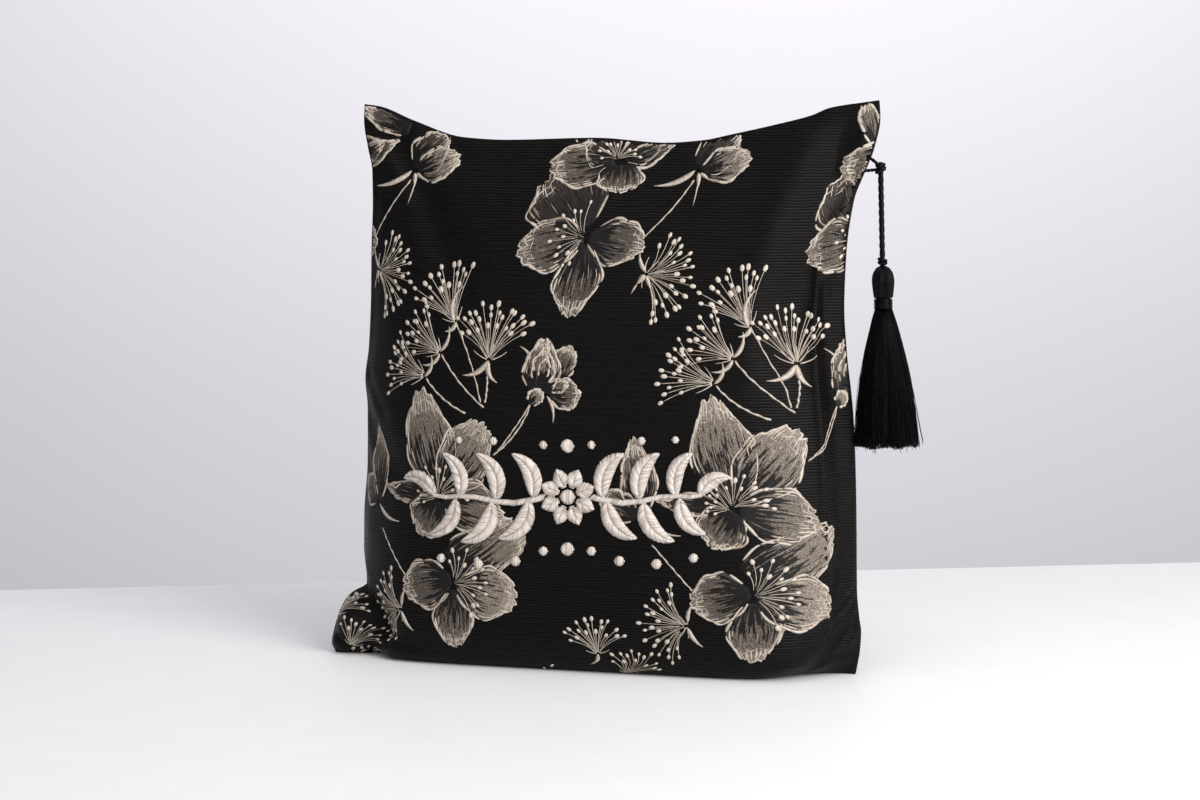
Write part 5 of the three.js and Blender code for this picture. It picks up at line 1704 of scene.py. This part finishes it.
class BAG_OT_tassel(bpy.types.Operator):
    """Makes the tassel's head, its binding and the strands of its skirt"""
    bl_idname = "bag.tassel"
    bl_label = "Tassel"

    def execute(self, context):
        settings = context.scene.bag_tassel
        silk = silk_material(settings)
        rng = np.random.default_rng(23)
        share = np.linspace(0, 1, 46)

        def folds(distance, turn):
            """Ridges of the strands that are drawn over the head."""
            uneven = 1 + 0.5 * np.sin(5 * turn + 1.0)
            return 0.055 * uneven * np.abs(np.cos(HEAD_STRANDS / 2 * turn + 0.12 * distance)) - 0.025

        def bell_at(t):
            """Radius of the skirt at a share of its length."""
            return SKIRT_WIDE / 2 * read(SKIRT_SHAPE, t, "wide")

        wide = HEAD_RADIUS * read(HEAD_SHAPE, share, "wide")
        head = turned(HEAD_START + share * HEAD_HIGH, wide, HEAD_SIDES, folds)
        head_end = HEAD_START + HEAD_HIGH
        neck_end = head_end + BINDING_HIGH
        neck = turned(np.linspace(head_end - 0.4, neck_end + 1.5, 8), np.full(8, NECK_RADIUS), 40)
        fall = np.linspace(0, SKIRT_CORE_END, 24)
        core = turned(neck_end - 1.0 + fall * SKIRT_LONG, bell_at(fall) * SKIRT_CORE, 72)
        count, steps = settings.strands, SKIRT_STEPS
        t = np.linspace(0, 1, steps)
        turn = rng.uniform(0, 2 * np.pi, (count, 1))
        clump = 0.09 * np.sin(7 * turn + 1.3) + 0.05 * np.sin(16 * turn)
        layer = rng.uniform(0.78, 1.0, (count, 1)) ** 0.6
        length = SKIRT_LONG * (1 - 0.03 * rng.uniform(0, 1, (count, 1)) - 0.015 * np.abs(np.sin(3 * turn)))
        bell = bell_at(t)[None] * (1 + clump * t) * (0.9 + 0.1 * layer)
        start = 0.84 + 0.16 * layer
        radius = bell * (start + (layer - start) * t)
        swirl = turn + t * rng.normal(0, 0.07, (count, 1)) + 0.05 * np.sin(5 * t + 9 * turn)
        curl = 0.35 * np.sin(t * rng.uniform(2, 7, (count, 1)) + rng.uniform(0, 6, (count, 1))) * t
        paths = hang(neck_end - 0.6 + t * length, radius + curl, swirl)
        thin = settings.strand_width / MM / 2 * np.linspace(1.0, 0.75, steps)
        skirt = tubes(paths, np.broadcast_to(thin, (count, steps)), 3)
        loose = LOOSE_STRANDS
        t = np.linspace(0, 1, LOOSE_STEPS)
        turn = rng.uniform(-1.1, 1.5, (loose, 1)) + np.pi * (rng.uniform(0, 1, (loose, 1)) > 0.75)
        stand = rng.uniform(0.1, 1.0, (loose, 1)) ** 2 * 4.0 + 0.3
        away = bell_at(t)[None] + stand * t ** rng.uniform(1.2, 3, (loose, 1))
        wave = 0.5 * np.sin(6 * t + rng.uniform(0, 6, (loose, 1))) * t
        distance = neck_end + t * SKIRT_LONG * rng.uniform(0.88, 1.01, (loose, 1))
        stray = tubes(hang(distance, away + wave, turn), LOOSE_RADIUS, 3)
        parts = [head, neck, core, skirt, stray]
        tassel = build_parts("silk_tassel", parts, slot="silk", material=silk, show=["tassel"])
        top = head_end + 0.35
        turn = np.linspace(0, 2 * np.pi, 90)
        gap = (BINDING_HIGH - 0.7) / BINDING_TURNS
        rings = []
        for k in range(BINDING_TURNS):
            distance = top + gap * (k + 0.5) + 0.06 * np.sin(turn + k)
            wound = hang(distance, BINDING_RING + 0.06 * math.sin(2.1 * k), turn)
            rings.append(closed_ring(wound[:-1], gap * 0.56, 8))
        binding = build_parts("thread_binding", rings, slot="silk", material=silk, show=["tassel_binding"])
        return {"FINISHED"}


def count_setting(name, description, default, least):
    """A setting that is a whole number."""
    return IntProperty(name=name, description=description, default=default, min=least)


def length_setting(name, description, default):
    """A setting that is a length in metres."""
    return FloatProperty(name=name, description=description, default=default, unit="LENGTH")


def colour_setting(name, description, default):
    """A setting that is a linear colour."""
    return FloatVectorProperty(name=name, description=description, default=default, subtype="COLOR")


class ClothSettings(bpy.types.PropertyGroup):
    rows: count_setting("Rows", "Rows of the cloth mesh up the girth", 170, 40)
    columns: count_setting("Columns", "Columns of the cloth mesh across a face", 151, 41)
    rib_pitch: length_setting("Rib pitch", "Distance between two ribs of the weave", 0.00128)
    pucker_height: length_setting("Pucker height", "Height of the small waves along the seams", 0.00035)
    ground_dark: colour_setting("Ground", "Colour between the ribs", (0.0004, 0.0003, 0.0003))
    # Painted sheen: the paler colour of the crests of the ribs' stronger runs.
    rib_painted_sheen: colour_setting("Ribs", "Colour of the ribs' brighter runs", (0.0075, 0.0062, 0.0056))


class FlowerSettings(bpy.types.PropertyGroup):
    line_width: length_setting("Thread", "Width of the thread that outlines the petals", LINE_WIDTH * MM)
    # Pale and dark petals: the two ends of each petal's tone, which is partly woven colour and partly painted
    # light.
    petal_pale_and_lit: colour_setting("Light petals", "Colour of the palest petals", (0.31, 0.257, 0.207))
    petal_dark_and_shaded: colour_setting("Dark petals", "Colour of the darkest petals", (0.022, 0.0155, 0.012))
    petal_shadow: colour_setting("Streaks", "Colour of the dark streaks", (0.004, 0.003, 0.0025))
    line_colour: colour_setting("Champagne", "Colour of the outlines and stamens", (0.56, 0.49, 0.415))
    line_shade: colour_setting("Bronze", "Colour of the outlines' darker runs", (0.3, 0.235, 0.175))


class OrnamentSettings(bpy.types.PropertyGroup):
    thread_width: length_setting("Thread", "Width of one satin stitch", 0.00045)
    padding: length_setting("Padding", "Height of the stitches over the cloth", 0.0011)
    thread: colour_setting("Thread colour", "Colour of the satin thread", (0.74, 0.67, 0.61))
    thread_shade: colour_setting("Thread shade", "Colour of the thread's darker runs", (0.44, 0.37, 0.31))


class ZipSettings(bpy.types.PropertyGroup):
    tooth_pitch: length_setting("Tooth pitch", "Distance between two teeth", 0.0014)
    metal: colour_setting("Metal", "Colour of the slider and pull", (0.055, 0.053, 0.056))


class TasselSettings(bpy.types.PropertyGroup):
    strands: count_setting("Strands", "Strands in the tassel's skirt", 1500, 50)
    strand_width: length_setting("Strand width", "Thickness of one strand", 0.00042)
    silk_light: colour_setting("Silk", "Colour of the silk's lit streaks", (0.0016, 0.0017, 0.0021))


class StageSettings(bpy.types.PropertyGroup):
    key: FloatProperty(name="Key light", description="Power of the soft light from the right", default=11.0,
                       unit="POWER")
    fill: FloatProperty(name="Fill", description="Strength of the light from all round", default=0.3)
    backdrop: colour_setting("Backdrop", "Colour of the backdrop", (0.83, 0.81, 0.85))


SETTINGS = {"bag_cloth": ClothSettings, "bag_flowers": FlowerSettings, "bag_ornament": OrnamentSettings,
            "bag_zip": ZipSettings, "bag_tassel": TasselSettings, "bag_stage": StageSettings}
OPERATORS = (BAG_OT_stage, BAG_OT_cord, BAG_OT_tassel, BAG_OT_cloth, BAG_OT_flowers, BAG_OT_ornament,
             BAG_OT_zip)


class BAG_PT_pieces(bpy.types.Panel):
    bl_idname = "BAG_PT_pieces"
    bl_label = "Tallit bag"
    bl_space_type = "VIEW_3D"
    bl_region_type = "UI"
    bl_category = "Bag"

    def draw(self, context):
        for operator in OPERATORS:
            self.layout.operator(operator.bl_idname)
        for name, settings in SETTINGS.items():
            box = self.layout.box()
            for key in settings.__annotations__:
                box.prop(getattr(context.scene, name), key)


CLASSES = tuple(SETTINGS.values()) + OPERATORS + (BAG_PT_pieces,)


def register():
    """Registers the add-on's classes and settings."""
    for cls in CLASSES:
        bpy.utils.register_class(cls)
    for name, settings in SETTINGS.items():
        setattr(bpy.types.Scene, name, PointerProperty(type=settings))


def unregister():
    """Takes them away again."""
    for name in SETTINGS:
        delattr(bpy.types.Scene, name)
    for cls in reversed(CLASSES):
        bpy.utils.unregister_class(cls)


def main():
    """Makes the stage and every piece in order."""
    register()
    for operator in OPERATORS:
        group_name, name = operator.bl_idname.split(".")
        getattr(getattr(bpy.ops, group_name), name)()


if __name__ == "__main__":
    main()
